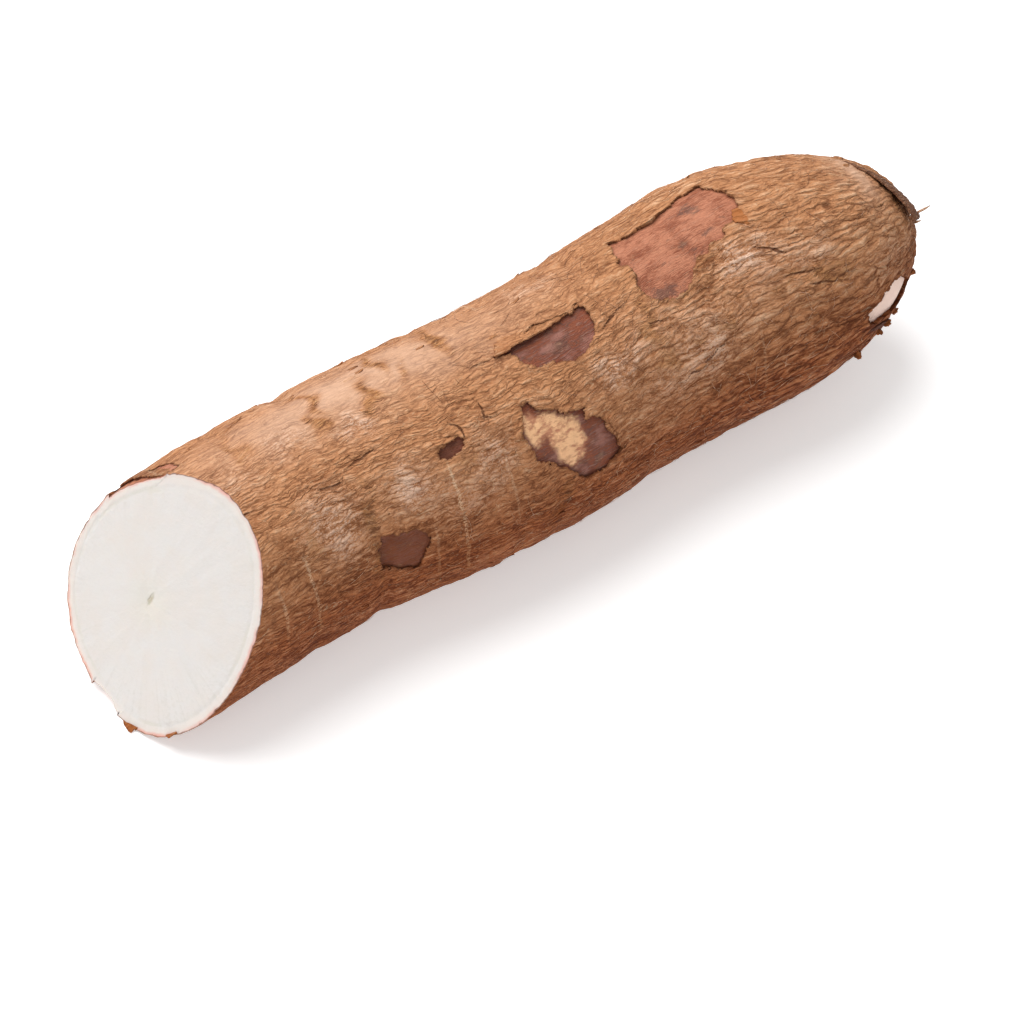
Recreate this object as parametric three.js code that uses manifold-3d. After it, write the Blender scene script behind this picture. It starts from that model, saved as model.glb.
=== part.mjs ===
// A cassava root lying on its side: trimmed with one slanting cut at the stem end and grown shut at
// the tip. Its brown bark has peeled away in patches, which show the smooth skin underneath, and it
// curls up at some of their edges.
//
// Millimetres, +Z up. The root lies along X, with the cut facing -X and the tip at +X, on a narrow
// flat bed at Z = 0. A place on the bark is given as [x, turn]. Turn is in degrees round the root:
// 0 faces +Y, 90 faces up, 180 faces -Y and 270 faces the ground.

import * as THREE from "three";
import { SimplexNoise } from "three/addons/math/SimplexNoise.js";
import { mergeVertices } from "three/addons/utils/BufferGeometryUtils.js";
import Module from "manifold-3d";

const wasm = await Module();
wasm.setup();
const { degToRad, clamp, lerp, smoothstep } = THREE.MathUtils;

// ---- Driving dimensions ----------------------------------------------------------------------

// Girth: one station every STATION_STEP along X, as
// [radius, how far the middle lies to +Y, how far it is raised].
const STATION_START = -170;
const STATION_STEP = 35;
const STATIONS = [
  [32, -8.5, 0],
  [34, -5.5, 0],
  [35.5, -1, 0],
  [35.5, 0.5, 0],
  [36.5, -2, 0],
  [36.5, -2, 0],
  [36.5, 1.5, 0],
  [38, 2, 0.5],
  [38.5, -1, 2],
  [38.5, -1.5, 4],
];
const BED_DEPTH = 0.8; // how far the round underside is pressed flat
const MEAN_RADIUS = 36;

// The tip closes from TIP_START to TIP_END. A higher fullness makes it blunter.
const TIP_START = 67;
const TIP_END = 142.5;
const TIP_FULLNESS = 2.25;

// Near the cut the round section is a little oval and a little three-sided.
const OVAL_SHARE = 0.03;
const OVAL_TURN = degToRad(-12);
const THREE_SIDED_SHARE = 0.045;
const THREE_SIDED_TURN = degToRad(-3);
const LOBES_FADE = [-150, -30]; // from where to where along X

// The slanting cut: a point on it, how far its face leans up and how far it turns to -Y.
const CUT_AT = new THREE.Vector3(-125.5, 0, 35);
const CUT_LEAN = degToRad(32);
const CUT_TURN = degToRad(12);

// The groove between rind and flesh that a drying cut shows, and the pith in the middle of the flesh.
const RIND_THICKNESS = 2.4;
const RIND_GROOVE = { width: 0.9, depth: 0.6 };
const GROOVE_SIDES = 48;
const PITH_AT = new THREE.Vector3(-127.4, 0, 32.3);
const PITH_HALF_SIZES = new THREE.Vector3(1.2, 0.9, 4.5); // deep, wide, tall
const PITH_SIDES = 10;
const PITH_ROWS = 6;

const BARK_THICKNESS = 0.8;
const SCRAPE_DEPTH = 1.2; // where a knock has scraped bark and a little rind away
const BITE_DEPTH = 2.2; // where bark and rind are torn off together

// Growth rings: shallow grooves, or ridges where the depth is negative, all round the root. They
// wander to and fro along it a little.
const RINGS = [
  { x: -102, depth: -0.25, half: 1.8 },
  { x: -91, depth: 0.5, half: 3 },
  { x: -68, depth: 1, half: 3.5 },
  { x: -40, depth: -0.3, half: 2 },
  { x: -22, depth: 0.4, half: 3 },
  { x: -10, depth: 0.4, half: 3 },
  { x: 27, depth: 0.6, half: 4 },
  { x: 58, depth: 0.4, half: 3 },
  { x: 94, depth: 0.4, half: 4 },
];

const RING_WANDER = { reach: 2, width: 30 };

// Bumps: broad swellings, and wrinkles that run along the root and coarsen towards the tip.
const SWELLING = { height: 0.3, length: 45, width: 30 };
const WRINKLE = { height: 0.4, tipHeight: 0.7, length: 24, width: 7 };
const WRINKLES_COARSEN = [0, 100]; // from where to where along X

// Patches where bark has come off, walked round their edges.
const PATCHES = [
  {
    depth: BARK_THICKNESS,
    edge: [
      [41, 70], [55, 73], [75, 66], [79, 76], [83, 85], [87, 94], [81, 103],
      [75, 99], [64, 104], [57, 106], [51, 117], [40, 112], [38, 99], [39, 78],
    ],
  },
  {
    depth: BARK_THICKNESS,
    edge: [[-7, 97], [-7, 104], [-4, 112], [2, 111], [5, 116], [10, 118], [14, 112], [18, 109], [20, 91]],
  },
  {
    depth: BARK_THICKNESS,
    edge: [
      [-15, 121], [-7, 128], [-4, 133], [5, 136], [2, 139], [9, 147],
      [9, 153], [13, 164], [4, 171], [-9, 163], [-15, 151], [-18, 137],
    ],
  },
  { depth: BARK_THICKNESS, edge: [[-67, 157], [-58, 157], [-52, 160], [-56, 169], [-60, 175], [-68, 167]] },
  { depth: BARK_THICKNESS, edge: [[-41, 126], [-34, 124], [-34, 129], [-41, 131]] },
  { depth: SCRAPE_DEPTH, edge: [[125, 170], [117, 163], [110, 168], [105, 178], [107, 185], [124, 196]] },
  { depth: BARK_THICKNESS, edge: [[-97, 6], [-95, -10], [-80, -16], [-66, -8], [-70, 8], [-84, 14]] },
  { depth: BARK_THICKNESS, edge: [[16, -22], [20, -38], [40, -44], [54, -30], [47, -14], [30, -9]] },
  { depth: BARK_THICKNESS, edge: [[90, 34], [93, 21], [106, 18], [113, 31], [101, 41]] },
  { depth: BARK_THICKNESS, edge: [[-30, 228], [-16, 222], [-6, 232], [-14, 242], [-27, 240]] },
  { depth: BITE_DEPTH, edge: [[-124, 24], [-114, 62], [-106, 62], [-107, 50], [-113, 38], [-119, 24]] },
  { depth: BITE_DEPTH, edge: [[-150, 268], [-150, 290], [-144, 288], [-142, 276], [-143, 268]] },
];
const EDGE_STEP = 4; // a torn edge changes direction about this often
const EDGE_TEAR = 0.7; // and strays this far

// Loose bark: flat flakes on the surface, joined to it along one side and lifted towards the other.
const FLAKES = [
  {
    edge: [[-122, 25], [-112, 58], [-104, 60], [-102, 44], [-111, 27]],
    from: [-103, 45],
    to: [-119, 38],
    lift: 2,
  },
  {
    edge: [[-13, 97], [4, 96], [20, 93], [21, 86], [4, 85], [-10, 89]],
    from: [5, 85],
    to: [4, 97],
    lift: 1.3,
  },
  { edge: [[75, 95], [83, 93], [85, 101], [77, 104]], from: [85, 98], to: [75, 100], lift: 1 },
  {
    edge: [[124, 64], [133, 62], [138, 84], [138, 112], [136, 142], [131, 138], [130, 112], [127, 90]],
    from: [125, 66],
    to: [134, 140],
    lift: 2.4,
  },
  {
    edge: [[-147, 252], [-142, 249], [-140, 260], [-146, 264]],
    from: [-139, 256],
    to: [-148, 258],
    lift: 0.5,
  },
  {
    edge: [[-141, 227], [-136, 225], [-135, 235], [-140, 238]],
    from: [-134, 230],
    to: [-142, 232],
    lift: 0.4,
  },
  { edge: [[-18, 137], [-14, 122], [-19, 120], [-23, 134]], from: [-23, 127], to: [-15, 130], lift: 0.9 },
  { edge: [[9, 147], [13, 164], [18, 162], [14, 145]], from: [17, 154], to: [10, 156], lift: 1 },
  { edge: [[54, -30], [47, -14], [52, -10], [60, -28]], from: [58, -20], to: [50, -22], lift: 1.2 },
];
const FLAKE_SUNK = 0.4; // how deep the joined side of a flake sits in the bark

// Crumbs of bark and rind round the scrape near the tip, as [x, turn, radius].
const CRUMBS = [
  [117, 199, 1.5],
  [112, 196, 1.2],
  [122, 202, 1.1],
  [104, 203, 1.4],
  [131, 186, 1],
];

const CRUMB_SPREAD = [0.8, 1.2]; // their corners stray from the radius by these shares

// A stub of fibre that stands out of the tip. Its middle bends away by bow.
const FIBRE = { at: [137, 138], length: 5, sunk: 2, radius: 0.5, bow: new THREE.Vector3(0.8, 0, 0.6) };

const ROWS_AROUND = 62;
const ROWS_ALONG = 52;
const SHAFT_START = -165; // the shaft is made longer than the root and cut back
const SHAFT_ROWS_SHARE = 0.7; // the rest of the rows close the tip

// Moves the finished root so that the middle of its bounding box is over the origin.
const CENTRE_ON_ORIGIN = new THREE.Vector3(2.3, -0.6, 0);

const BARK_LOOK = { color: "#a67c58", roughness: 0.85, metalness: 0 };

// Each kind of random draw starts from its own seed.
const RELIEF_SEED = 7;
const PATCH_SEED = 100;
const FLAKE_SEED = 200;
const CRUMB_SEED = 300;

// ---- The surface of the root -----------------------------------------------------------------

function seededRandom(seed) {
  let state = seed;
  return () => {
    state = (Math.imul(state, 1664525) + 1013904223) >>> 0;
    return state / 2 ** 32;
  };
}

const noise = new SimplexNoise({ random: seededRandom(RELIEF_SEED) });

const girth = new THREE.CatmullRomCurve3(
  STATIONS.map(([radius, side, rise]) => new THREE.Vector3(radius, side, rise)),
  false,
  "catmullrom",
  0.5,
);

// The plain section at x: its radius, and where its middle is.
function section(x) {
  const share = (x - STATION_START) / (STATION_STEP * (STATIONS.length - 1));
  const { x: radius, y: side, z: rise } = girth.getPoint(clamp(share, 0, 1));
  const closed = clamp((x - TIP_START) / (TIP_END - TIP_START), 0, 1) ** TIP_FULLNESS;
  return { radius: radius * Math.sqrt(1 - closed), side, middle: radius - BED_DEPTH + rise };
}

// How much further out than the plain section the bark lies, as a share of the radius.
function relief(x, angle) {
  const across = MEAN_RADIUS * Math.cos(angle);
  const up = MEAN_RADIUS * Math.sin(angle);
  const lobed =
    OVAL_SHARE * Math.cos(2 * (angle - OVAL_TURN)) +
    THREE_SIDED_SHARE * Math.cos(3 * (angle - THREE_SIDED_TURN));
  const coarse = smoothstep(x, ...WRINKLES_COARSEN);

  let height = 0;
  for (const ring of RINGS) {
    const wander =
      RING_WANDER.reach * noise.noise3d(ring.x, across / RING_WANDER.width, up / RING_WANDER.width);
    height -= ring.depth * Math.exp(-(((x - ring.x - wander) / ring.half) ** 2));
  }
  height +=
    SWELLING.height * noise.noise3d(x / SWELLING.length, across / SWELLING.width, up / SWELLING.width);
  height +=
    lerp(WRINKLE.height, WRINKLE.tipHeight, coarse) *
    noise.noise3d(x / WRINKLE.length, across / WRINKLE.width, up / WRINKLE.width);
  return (1 - smoothstep(x, ...LOBES_FADE)) * lobed + height / MEAN_RADIUS;
}

function barkPoint(x, angle) {
  const { radius, side, middle } = section(x);
  const reach = radius * (1 + relief(x, angle));
  return new THREE.Vector3(x, side + reach * Math.cos(angle), middle + reach * Math.sin(angle));
}

const SLOPE_STEP = 0.5; // how far apart points are compared to find which way the surface faces

// A point at a height above the bark, measured square to the surface.
function above(x, angle, height) {
  const along = barkPoint(x + SLOPE_STEP, angle).sub(barkPoint(x - SLOPE_STEP, angle));
  const turn = SLOPE_STEP / MEAN_RADIUS;
  const around = barkPoint(x, angle + turn).sub(barkPoint(x, angle - turn));
  const out = around.cross(along).normalize();
  if (out.lengthSq() === 0) out.set(Math.sign(x), 0, 0);
  return barkPoint(x, angle).addScaledVector(out, height);
}

// ---- Solids ----------------------------------------------------------------------------------

const MERGE_DISTANCE = 1e-4;

// Moves each vertex of a geometry to where place(vertex) puts it, and makes a solid of the result.
function solidOf(geometry, place = (vertex) => vertex) {
  const bare = geometry.index ? geometry.toNonIndexed() : geometry.clone();
  bare.deleteAttribute("normal");
  bare.deleteAttribute("uv");
  const merged = mergeVertices(bare, MERGE_DISTANCE);
  const vertex = new THREE.Vector3();
  const positions = merged.getAttribute("position");
  for (let i = 0; i < positions.count; i++) {
    vertex.fromBufferAttribute(positions, i);
    const placed = place(vertex);
    positions.setXYZ(i, placed.x, placed.y, placed.z);
  }
  return new wasm.Manifold(
    new wasm.Mesh({
      numProp: 3,
      vertProperties: new Float32Array(positions.array),
      triVerts: new Uint32Array(merged.index.array),
    }),
  );
}

// The whole root before it is cut, at a height above its bark (below it where the height is negative).
function bodyAt(height) {
  const ball = new THREE.SphereGeometry(1, ROWS_AROUND, ROWS_ALONG);
  return solidOf(ball, ({ x, y, z }) => {
    const share = Math.acos(clamp(y, -1, 1)) / Math.PI;
    const angle = Math.atan2(z, x);
    if (share < 0.5 / ROWS_ALONG) {
      const { side, middle } = section(SHAFT_START);
      return new THREE.Vector3(SHAFT_START, side, middle);
    }
    if (share <= SHAFT_ROWS_SHARE) {
      return above(lerp(SHAFT_START, TIP_START, share / SHAFT_ROWS_SHARE), angle, height);
    }
    const closing = Math.min((share - SHAFT_ROWS_SHARE) / (1 - SHAFT_ROWS_SHARE), 1);
    return above(lerp(TIP_START, TIP_END, Math.sin((closing * Math.PI) / 2)), angle, height);
  });
}

// An outline on the bark, flattened: x along the root, and minus the distance round it, so that it
// faces outwards once it is wrapped.
function flatten(edge) {
  return edge.map(([x, turn]) => new THREE.Vector2(x, -degToRad(turn) * MEAN_RADIUS));
}

// The same outline with its sides torn: broken into short steps that stray from the straight line.
function torn(points, random) {
  const ragged = [];
  points.forEach((start, i) => {
    const end = points[(i + 1) % points.length];
    const steps = Math.max(1, Math.round(start.distanceTo(end) / EDGE_STEP));
    ragged.push(start);
    for (let k = 1; k < steps; k++) {
      const stray = new THREE.Vector2(random() - 0.5, random() - 0.5).multiplyScalar(2 * EDGE_TEAR);
      ragged.push(start.clone().lerp(end, k / steps).add(stray));
    }
  });
  return ragged;
}

// A flat outline given a thickness and wrapped round the root. height(point, level) places the two faces.
function wrapped(points, height) {
  const slab = new THREE.ExtrudeGeometry(new THREE.Shape(points), { depth: 1, bevelEnabled: false });
  return solidOf(slab, (vertex) =>
    above(vertex.x, -vertex.y / MEAN_RADIUS, height(new THREE.Vector2(vertex.x, vertex.y), vertex.z)),
  );
}

const WELL_CLEAR = 6; // how far a cutter runs past the surface on both sides

// The room under each patch, down to its depth below the bark.
function patchRoom({ depth, edge }, index) {
  const outline = torn(flatten(edge), seededRandom(PATCH_SEED + index));
  const cutter = wrapped(outline, (point, level) => lerp(-WELL_CLEAR, WELL_CLEAR, level));
  return cutter.subtract(bodyAt(-depth));
}

function flake({ edge, from, to, lift }, index) {
  const outline = torn(flatten(edge), seededRandom(FLAKE_SEED + index));
  const [hinge, free] = flatten([from, to]);
  const reach = free.clone().sub(hinge);
  return wrapped(outline, (point, level) => {
    const share = clamp(point.clone().sub(hinge).dot(reach) / reach.lengthSq(), 0, 1);
    const underside = lerp(-FLAKE_SUNK, lift - BARK_THICKNESS, share ** 2);
    return underside + BARK_THICKNESS * level;
  });
}

function crumb([x, turn, radius], index) {
  const random = seededRandom(CRUMB_SEED + index);
  const centre = above(x, degToRad(turn), radius / 4);
  return solidOf(new THREE.IcosahedronGeometry(radius, 0), (vertex) =>
    vertex.clone().multiplyScalar(lerp(...CRUMB_SPREAD, random())).add(centre),
  );
}

function fibre() {
  const [x, turn] = FIBRE.at;
  const foot = above(x, degToRad(turn), -FIBRE.sunk);
  const head = above(x, degToRad(turn), FIBRE.length);
  const middle = foot.clone().lerp(head, 0.5).add(FIBRE.bow);
  const path = new THREE.QuadraticBezierCurve3(foot, middle, head);
  const round = new THREE.Shape().absarc(0, 0, FIBRE.radius, 0, 2 * Math.PI);
  return solidOf(
    new THREE.ExtrudeGeometry(round, { steps: 3, curveSegments: 3, extrudePath: path, bevelEnabled: false }),
  );
}

// The cut's own frame: X along its outward normal, with the origin on the cut.
const cutFacing = new THREE.Quaternion().setFromUnitVectors(
  new THREE.Vector3(1, 0, 0),
  new THREE.Vector3(
    -Math.cos(CUT_LEAN) * Math.cos(CUT_TURN),
    -Math.cos(CUT_LEAN) * Math.sin(CUT_TURN),
    Math.sin(CUT_LEAN),
  ),
);

const PAST_THE_ROOT = 120; // how far the solids that trim the root reach, past all of it

// Everything in front of the cut.
function beyondCut() {
  const box = new THREE.BoxGeometry(PAST_THE_ROOT, 2 * PAST_THE_ROOT, 2 * PAST_THE_ROOT);
  box.translate(PAST_THE_ROOT / 2, 0, 0).applyQuaternion(cutFacing).translate(CUT_AT.x, CUT_AT.y, CUT_AT.z);
  return solidOf(box);
}

const CUT_PASSES = 8; // each brings a point of the outline nearer to the cut

// The outline of the root on the cut, at a height above the bark, as points of the cut's own frame.
function cutOutline(height) {
  const normal = new THREE.Vector3(1, 0, 0).applyQuaternion(cutFacing);
  const points = [];
  for (let i = 0; i < GROOVE_SIDES; i++) {
    const angle = (2 * Math.PI * i) / GROOVE_SIDES;
    const point = CUT_AT.clone();
    for (let pass = 0; pass < CUT_PASSES; pass++) {
      const off = normal.dot(above(point.x, angle, height).sub(CUT_AT));
      point.x -= off / normal.x;
    }
    const flat = above(point.x, angle, height).sub(CUT_AT).applyQuaternion(cutFacing.clone().invert());
    points.push(new THREE.Vector2(flat.y, flat.z));
  }
  return points;
}

// The ring groove between rind and flesh, as the solid to take away.
function rindGroove() {
  const ring = new THREE.Shape(cutOutline(-RIND_THICKNESS));
  ring.holes.push(new THREE.Path(cutOutline(-RIND_THICKNESS - RIND_GROOVE.width).reverse()));
  const band = new THREE.ExtrudeGeometry(ring, { depth: 2 * RIND_GROOVE.depth, bevelEnabled: false });
  return solidOf(band, ({ x, y, z }) =>
    new THREE.Vector3(z - RIND_GROOVE.depth, x, y).applyQuaternion(cutFacing).add(CUT_AT),
  );
}

function pithHollow() {
  const hollow = new THREE.SphereGeometry(1, PITH_SIDES, PITH_ROWS);
  hollow.scale(PITH_HALF_SIZES.x, PITH_HALF_SIZES.y, PITH_HALF_SIZES.z);
  hollow.rotateY(-CUT_LEAN);
  hollow.rotateX(-CUT_TURN);
  hollow.translate(PITH_AT.x, PITH_AT.y, PITH_AT.z);
  return solidOf(hollow);
}

function ground() {
  const slab = new THREE.BoxGeometry(4 * PAST_THE_ROOT, 2 * PAST_THE_ROOT, PAST_THE_ROOT);
  slab.translate(0, 0, -PAST_THE_ROOT / 2);
  return solidOf(slab);
}

// ---- Assembly --------------------------------------------------------------------------------

function rootSolid() {
  let root = bodyAt(0);
  PATCHES.forEach((patch, index) => {
    root = root.subtract(patchRoom(patch, index));
  });
  root = root.subtract(beyondCut());
  root = root.subtract(rindGroove());
  root = root.subtract(pithHollow());
  [...FLAKES.map(flake), ...CRUMBS.map(crumb), fibre()].forEach((piece) => {
    root = root.add(piece);
  });
  return root.subtract(ground());
}

function meshOf(name, solid, look) {
  const { numProp, vertProperties, triVerts } = solid.getMesh();
  const geometry = new THREE.BufferGeometry();
  geometry.setAttribute("position", new THREE.BufferAttribute(vertProperties, numProp));
  geometry.setIndex(new THREE.BufferAttribute(triVerts, 1));
  geometry.computeVertexNormals();
  const mesh = new THREE.Mesh(geometry, new THREE.MeshStandardMaterial(look));
  mesh.name = name;
  return mesh;
}

const group = new THREE.Group();
const root = meshOf("cassava_root", rootSolid(), BARK_LOOK);
root.position.copy(CENTRE_ON_ORIGIN);
group.add(root);

export default group;
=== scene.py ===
"""Cassava root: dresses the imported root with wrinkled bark, peeled patches, flakes and a moist cut."""

import math
import random

import bmesh
import bpy
import numpy as np
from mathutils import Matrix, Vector, noise


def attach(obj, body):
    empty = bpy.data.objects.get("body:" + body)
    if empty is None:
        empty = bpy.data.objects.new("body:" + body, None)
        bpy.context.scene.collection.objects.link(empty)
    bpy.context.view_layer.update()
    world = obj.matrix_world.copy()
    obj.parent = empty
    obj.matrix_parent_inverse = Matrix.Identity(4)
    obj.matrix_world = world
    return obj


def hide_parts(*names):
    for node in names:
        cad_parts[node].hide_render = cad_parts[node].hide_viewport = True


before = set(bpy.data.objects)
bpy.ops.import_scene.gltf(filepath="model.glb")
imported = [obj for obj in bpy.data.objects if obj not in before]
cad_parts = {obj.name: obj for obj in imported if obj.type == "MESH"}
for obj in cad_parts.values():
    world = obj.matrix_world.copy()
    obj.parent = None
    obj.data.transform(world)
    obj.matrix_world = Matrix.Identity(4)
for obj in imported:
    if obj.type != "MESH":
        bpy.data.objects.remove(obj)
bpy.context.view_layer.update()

bl_info = {
    "name": "Cassava Root",
    "version": (1, 0, 0),
    "blender": (4, 5, 0),
    "location": "3D View > Sidebar > Cassava",
    "description": "Builds the bark, skin, flesh and loose flakes of a cassava root",
    "category": "Add Mesh",
}

NODE = "cassava_root"
BODY = "root"
MM = 0.001  # lengths below are in millimetres, and Blender's are in metres

# ---- Form of the root ------------------------------------------------------------------------
# The root lies along X. A place on it is written (x, turn): turn is in degrees round the root, where
# 0 faces +Y, 90 faces up, 180 faces -Y and 270 faces the ground. The bark is modelled as a flat sheet
# of places (t, s, height) and then wrapped: t is the way over the surface from the stem end to the
# tip, and s the way round it.

STATION_START = -170.0
STATION_STEP = 35.0
STATIONS = np.array(
    (
        (32, -8.5, 0),
        (34, -5.5, 0),
        (35.5, -1, 0),
        (35.5, 0.5, 0),
        (36.5, -2, 0),
        (36.5, -2, 0),
        (36.5, 1.5, 0),
        (38, 2, 0.5),
        (38.5, -1, 2),
        (38.5, -1.5, 4),
    ),
    float,
)  # radius, how far the middle lies to +Y, how far it is raised
BED_DEPTH = 0.8
MEAN_RADIUS = 36.0
FULL_TURN = 2 * math.pi * MEAN_RADIUS
TIP_START = 67.0
TIP_END = 142.5
TIP_FULLNESS = 2.25
GRAIN_CLOSING = 0.3  # below 1, the bark's pattern keeps its width towards the tip and closes late
TIP_WAY = 95.0  # the way over the surface from TIP_START to the tip
OVAL_SHARE = 0.03
OVAL_TURN = math.radians(-12)
THREE_SIDED_SHARE = 0.045
THREE_SIDED_TURN = math.radians(-3)
LOBES_FADE = (-150, -30)  # the section's lobes die out between these x
CENTRE_ON_ORIGIN = np.array((2.3, -0.6, 0.0))

CUT_LEAN = math.radians(32)
CUT_TURN = math.radians(12)
CUT_NORMAL = np.array(
    (
        -math.cos(CUT_LEAN) * math.cos(CUT_TURN),
        -math.cos(CUT_LEAN) * math.sin(CUT_TURN),
        math.sin(CUT_LEAN),
    )
)
CUT_SIDE = np.cross((0, 0, 1), CUT_NORMAL)
CUT_SIDE /= np.linalg.norm(CUT_SIDE)
CUT_RISE = np.cross(CUT_NORMAL, CUT_SIDE)
CUT_AT = np.array((-125.5, 0.0, 35.0)) + CENTRE_ON_ORIGIN
PITH_AT = np.array((-127.4, 0.0, 32.3)) + CENTRE_ON_ORIGIN

# Growth rings as (t, depth, half width). A negative depth is a ridge.
RINGS = (
    (-102, -0.25, 1.8),
    (-91, 0.5, 3),
    (-68, 1, 3.5),
    (-40, -0.3, 2),
    (-22, 0.4, 3),
    (-10, 0.4, 3),
    (27, 0.6, 4),
    (58, 0.4, 3),
    (94, 0.4, 4),
    (152, 0.5, 2),
)
RING_WANDER = 2.0

# Peeled patches: their depth, the tone of the skin they show (0 salmon, 1 purple-brown, 1.5 where only
# the outer bark is gone), their edge.
PATCHES = (
    (0.8, 0.15, ((42, 69), (55, 72), (69, 66), (77, 66), (79, 76), (82, 84), (79, 92), (75, 96),
                 (69, 101), (59, 105), (57, 107), (54, 112), (51, 116), (42, 114), (40, 110),
                 (38, 101), (40, 96), (40, 90), (38, 86), (40, 78))),
    (0.8, 0.75, ((-13, 96), (-9, 94.6), (-4, 92), (4, 91), (16, 93), (19, 92), (20, 98), (20, 102),
                 (19, 107), (16, 112), (12, 115), (7, 117), (4, 114), (2, 112), (-3, 111),
                 (-4, 112), (-5, 108), (-7, 105), (-7, 98))),
    (0.8, 0.8, ((-15, 123), (-12, 123), (-11, 126), (-5, 130), (-5, 132), (-1, 134), (3, 136),
                (5, 135), (3, 138), (3, 141), (8, 144), (9, 147), (7, 150), (11, 157), (11, 161),
                (13, 164), (9, 168), (4, 171), (-2, 168), (-7, 161), (-10, 156), (-15, 150),
                (-17, 142), (-18, 135), (-17, 130))),
    (0.5, 1.5, ((-67.5, 151), (-61, 153.5), (-56, 155.5), (-52.5, 159.5), (-53, 166), (-55, 168),
                (-55.5, 173), (-58, 177), (-64, 173), (-69.5, 169), (-69, 158))),
    (0.8, 1.3, ((-43, 124), (-35, 121.5), (-33.5, 125), (-34, 128.5), (-42, 132))),
    (1.2, 0.0, ((125, 171), (129, 187), (128, 192), (124, 195), (121, 191), (114, 184), (107, 180),
                (105, 176), (104, 170), (110, 167), (110, 166), (115, 164), (118, 162))),
    (0.8, 0.35, ((-98, 5), (-99, -3), (-95, -8), (-90, -9), (-87, -15), (-80, -14), (-76, -17),
                  (-70, -12), (-64, -11), (-66, -3), (-63, 2), (-70, 6), (-74, 12), (-81, 9),
                  (-86, 14), (-91, 8))),
    (0.8, 0.25, ((14, -22), (19, -27), (17, -34), (24, -37), (30, -44), (38, -40), (43, -45),
                  (50, -37), (48, -31), (56, -27), (53, -18), (45, -17), (42, -10), (33, -13),
                  (27, -8), (22, -15))),
    (0.8, 0.55, ((89, 34), (91, 27), (90, 21), (97, 22), (103, 16), (108, 20), (115, 21), (111, 28),
                  (114, 34), (106, 36), (101, 42), (96, 36))),
    (0.8, 0.6, ((-31, 229), (-27, 224), (-21, 226), (-16, 221), (-10, 227), (-5, 229), (-8, 236),
                 (-6, 241), (-14, 240), (-19, 245), (-24, 239), (-29, 241), (-27, 234))),
    (0.9, 0.12, ((-124, 24), (-114, 62), (-106, 62), (-107, 50), (-113, 38), (-119, 24))),
    (2.2, 0.1, ((-150, 268), (-150, 290), (-144, 288), (-142, 276), (-143, 268))),
)
EDGE_TEAR = 1.5  # how far torn edges stray
EDGE_NEAR = 5.0  # only places this near to an edge are worth tearing
SCRAPE = 5  # the patch where a knock has gone through the skin into the pale rind
BITES = (10, 11)  # the patches at the cut, which slope down from their edges
BITE_SLOPE = 5.0  # over this far
SCAR = ((-16, 127), (-7, 131), (-2, 136), (1, 141), (1, 151), (-1, 156), (-4, 160), (-8, 156),
        (-9, 147), (-10, 141), (-14, 144), (-16, 137))

# Open cracks in the bark, from one (x, turn) to the next.
GASHES = (
    ((-33.5, 126), (-33.2, 122), (-34, 118), (-36, 114.5)),
    ((-24, 112), (-25.3, 120.5), (-21.5, 121.5)),
    ((-70, 115), (-63, 113.5), (-56, 112)),
    ((-22, 95.5), (-12, 96)),
    ((85, 138), (92, 141), (98, 145)),
    ((78, 131), (85, 132), (92, 134)),
    ((75, 112), (80, 117), (85, 122)),
    ((20, 110), (27, 106), (33, 104)),
    ((34, 118), (40, 122)),
    ((-79, 118), (-70, 121)),
    ((-105, 112), (-98, 112)),
    ((36, 152), (46, 150), (56, 144)),
)
GASH_HALF = 0.5  # half width of a crack at its middle
GASH_REACH = 4.0
GASH_BAND = 1.3  # the sheet is finer this near to a crack
GASH_DEPTH = 0.35

# Loose bark: its edge, where it hangs on, where its free side is, how far that is lifted, and how dark
# and how orange it is.
FLAKES = (
    (((-119.5, 24), (-110, 61), (-104, 60), (-102, 44), (-112, 24)), (-103, 45), (-117, 38), 0.6, 0.3, 0),
    (((-13, 97), (4, 96), (20, 93), (21, 86), (4, 85), (-10, 89)), (5, 85), (4, 97), 1.3, 0, 0),
    (((75, 97), (77, 91), (84, 92), (86, 97), (82, 103), (77, 102)), (86, 98), (75, 98), 0.7, 0, 0.9),
    (((124, 64), (133, 62), (138, 84), (138, 112), (136, 142), (131, 138), (130, 112), (127, 90)),
     (139, 80), (127, 120), 3.0, 0.75, 0),
    (((-146.5, 253), (-142, 251), (-141, 260), (-145.5, 262)), (-140, 256), (-147, 258), 0.4, 0, 0.6),
    (((-139.5, 228), (-136.5, 227), (-136, 235), (-139, 236)), (-135, 231), (-141, 232), 0.3, 0, 0.6),
    (((-18, 137), (-14, 122), (-19, 120), (-23, 134)), (-23, 127), (-15, 130), 0.9, 0, 0),
    (((9, 147), (13, 164), (18, 162), (14, 145)), (17, 154), (10, 156), 1.0, 0, 0),
    (((54, -30), (47, -14), (52, -10), (60, -28)), (58, -20), (50, -22), 1.2, 0, 0),
    (((-43, 119), (-35, 117), (-34.5, 122.5), (-43, 125)), (-38, 117), (-39, 124), 0.8, 0, 0),
    (((104, 184), (110, 184), (116, 192), (113, 197), (107, 192)), (106, 195), (112, 186), 0.7, 0.9, 0),
)
FLAKE_THICKNESS = 0.5
FLAKE_SUNK = 0.5
# Crumbs as (x, turn, radius).
CRUMBS = ((117, 199, 1.5), (112, 196, 1.2), (122, 202, 1.1), (104, 203, 1.4), (131, 186, 1.0))

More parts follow.
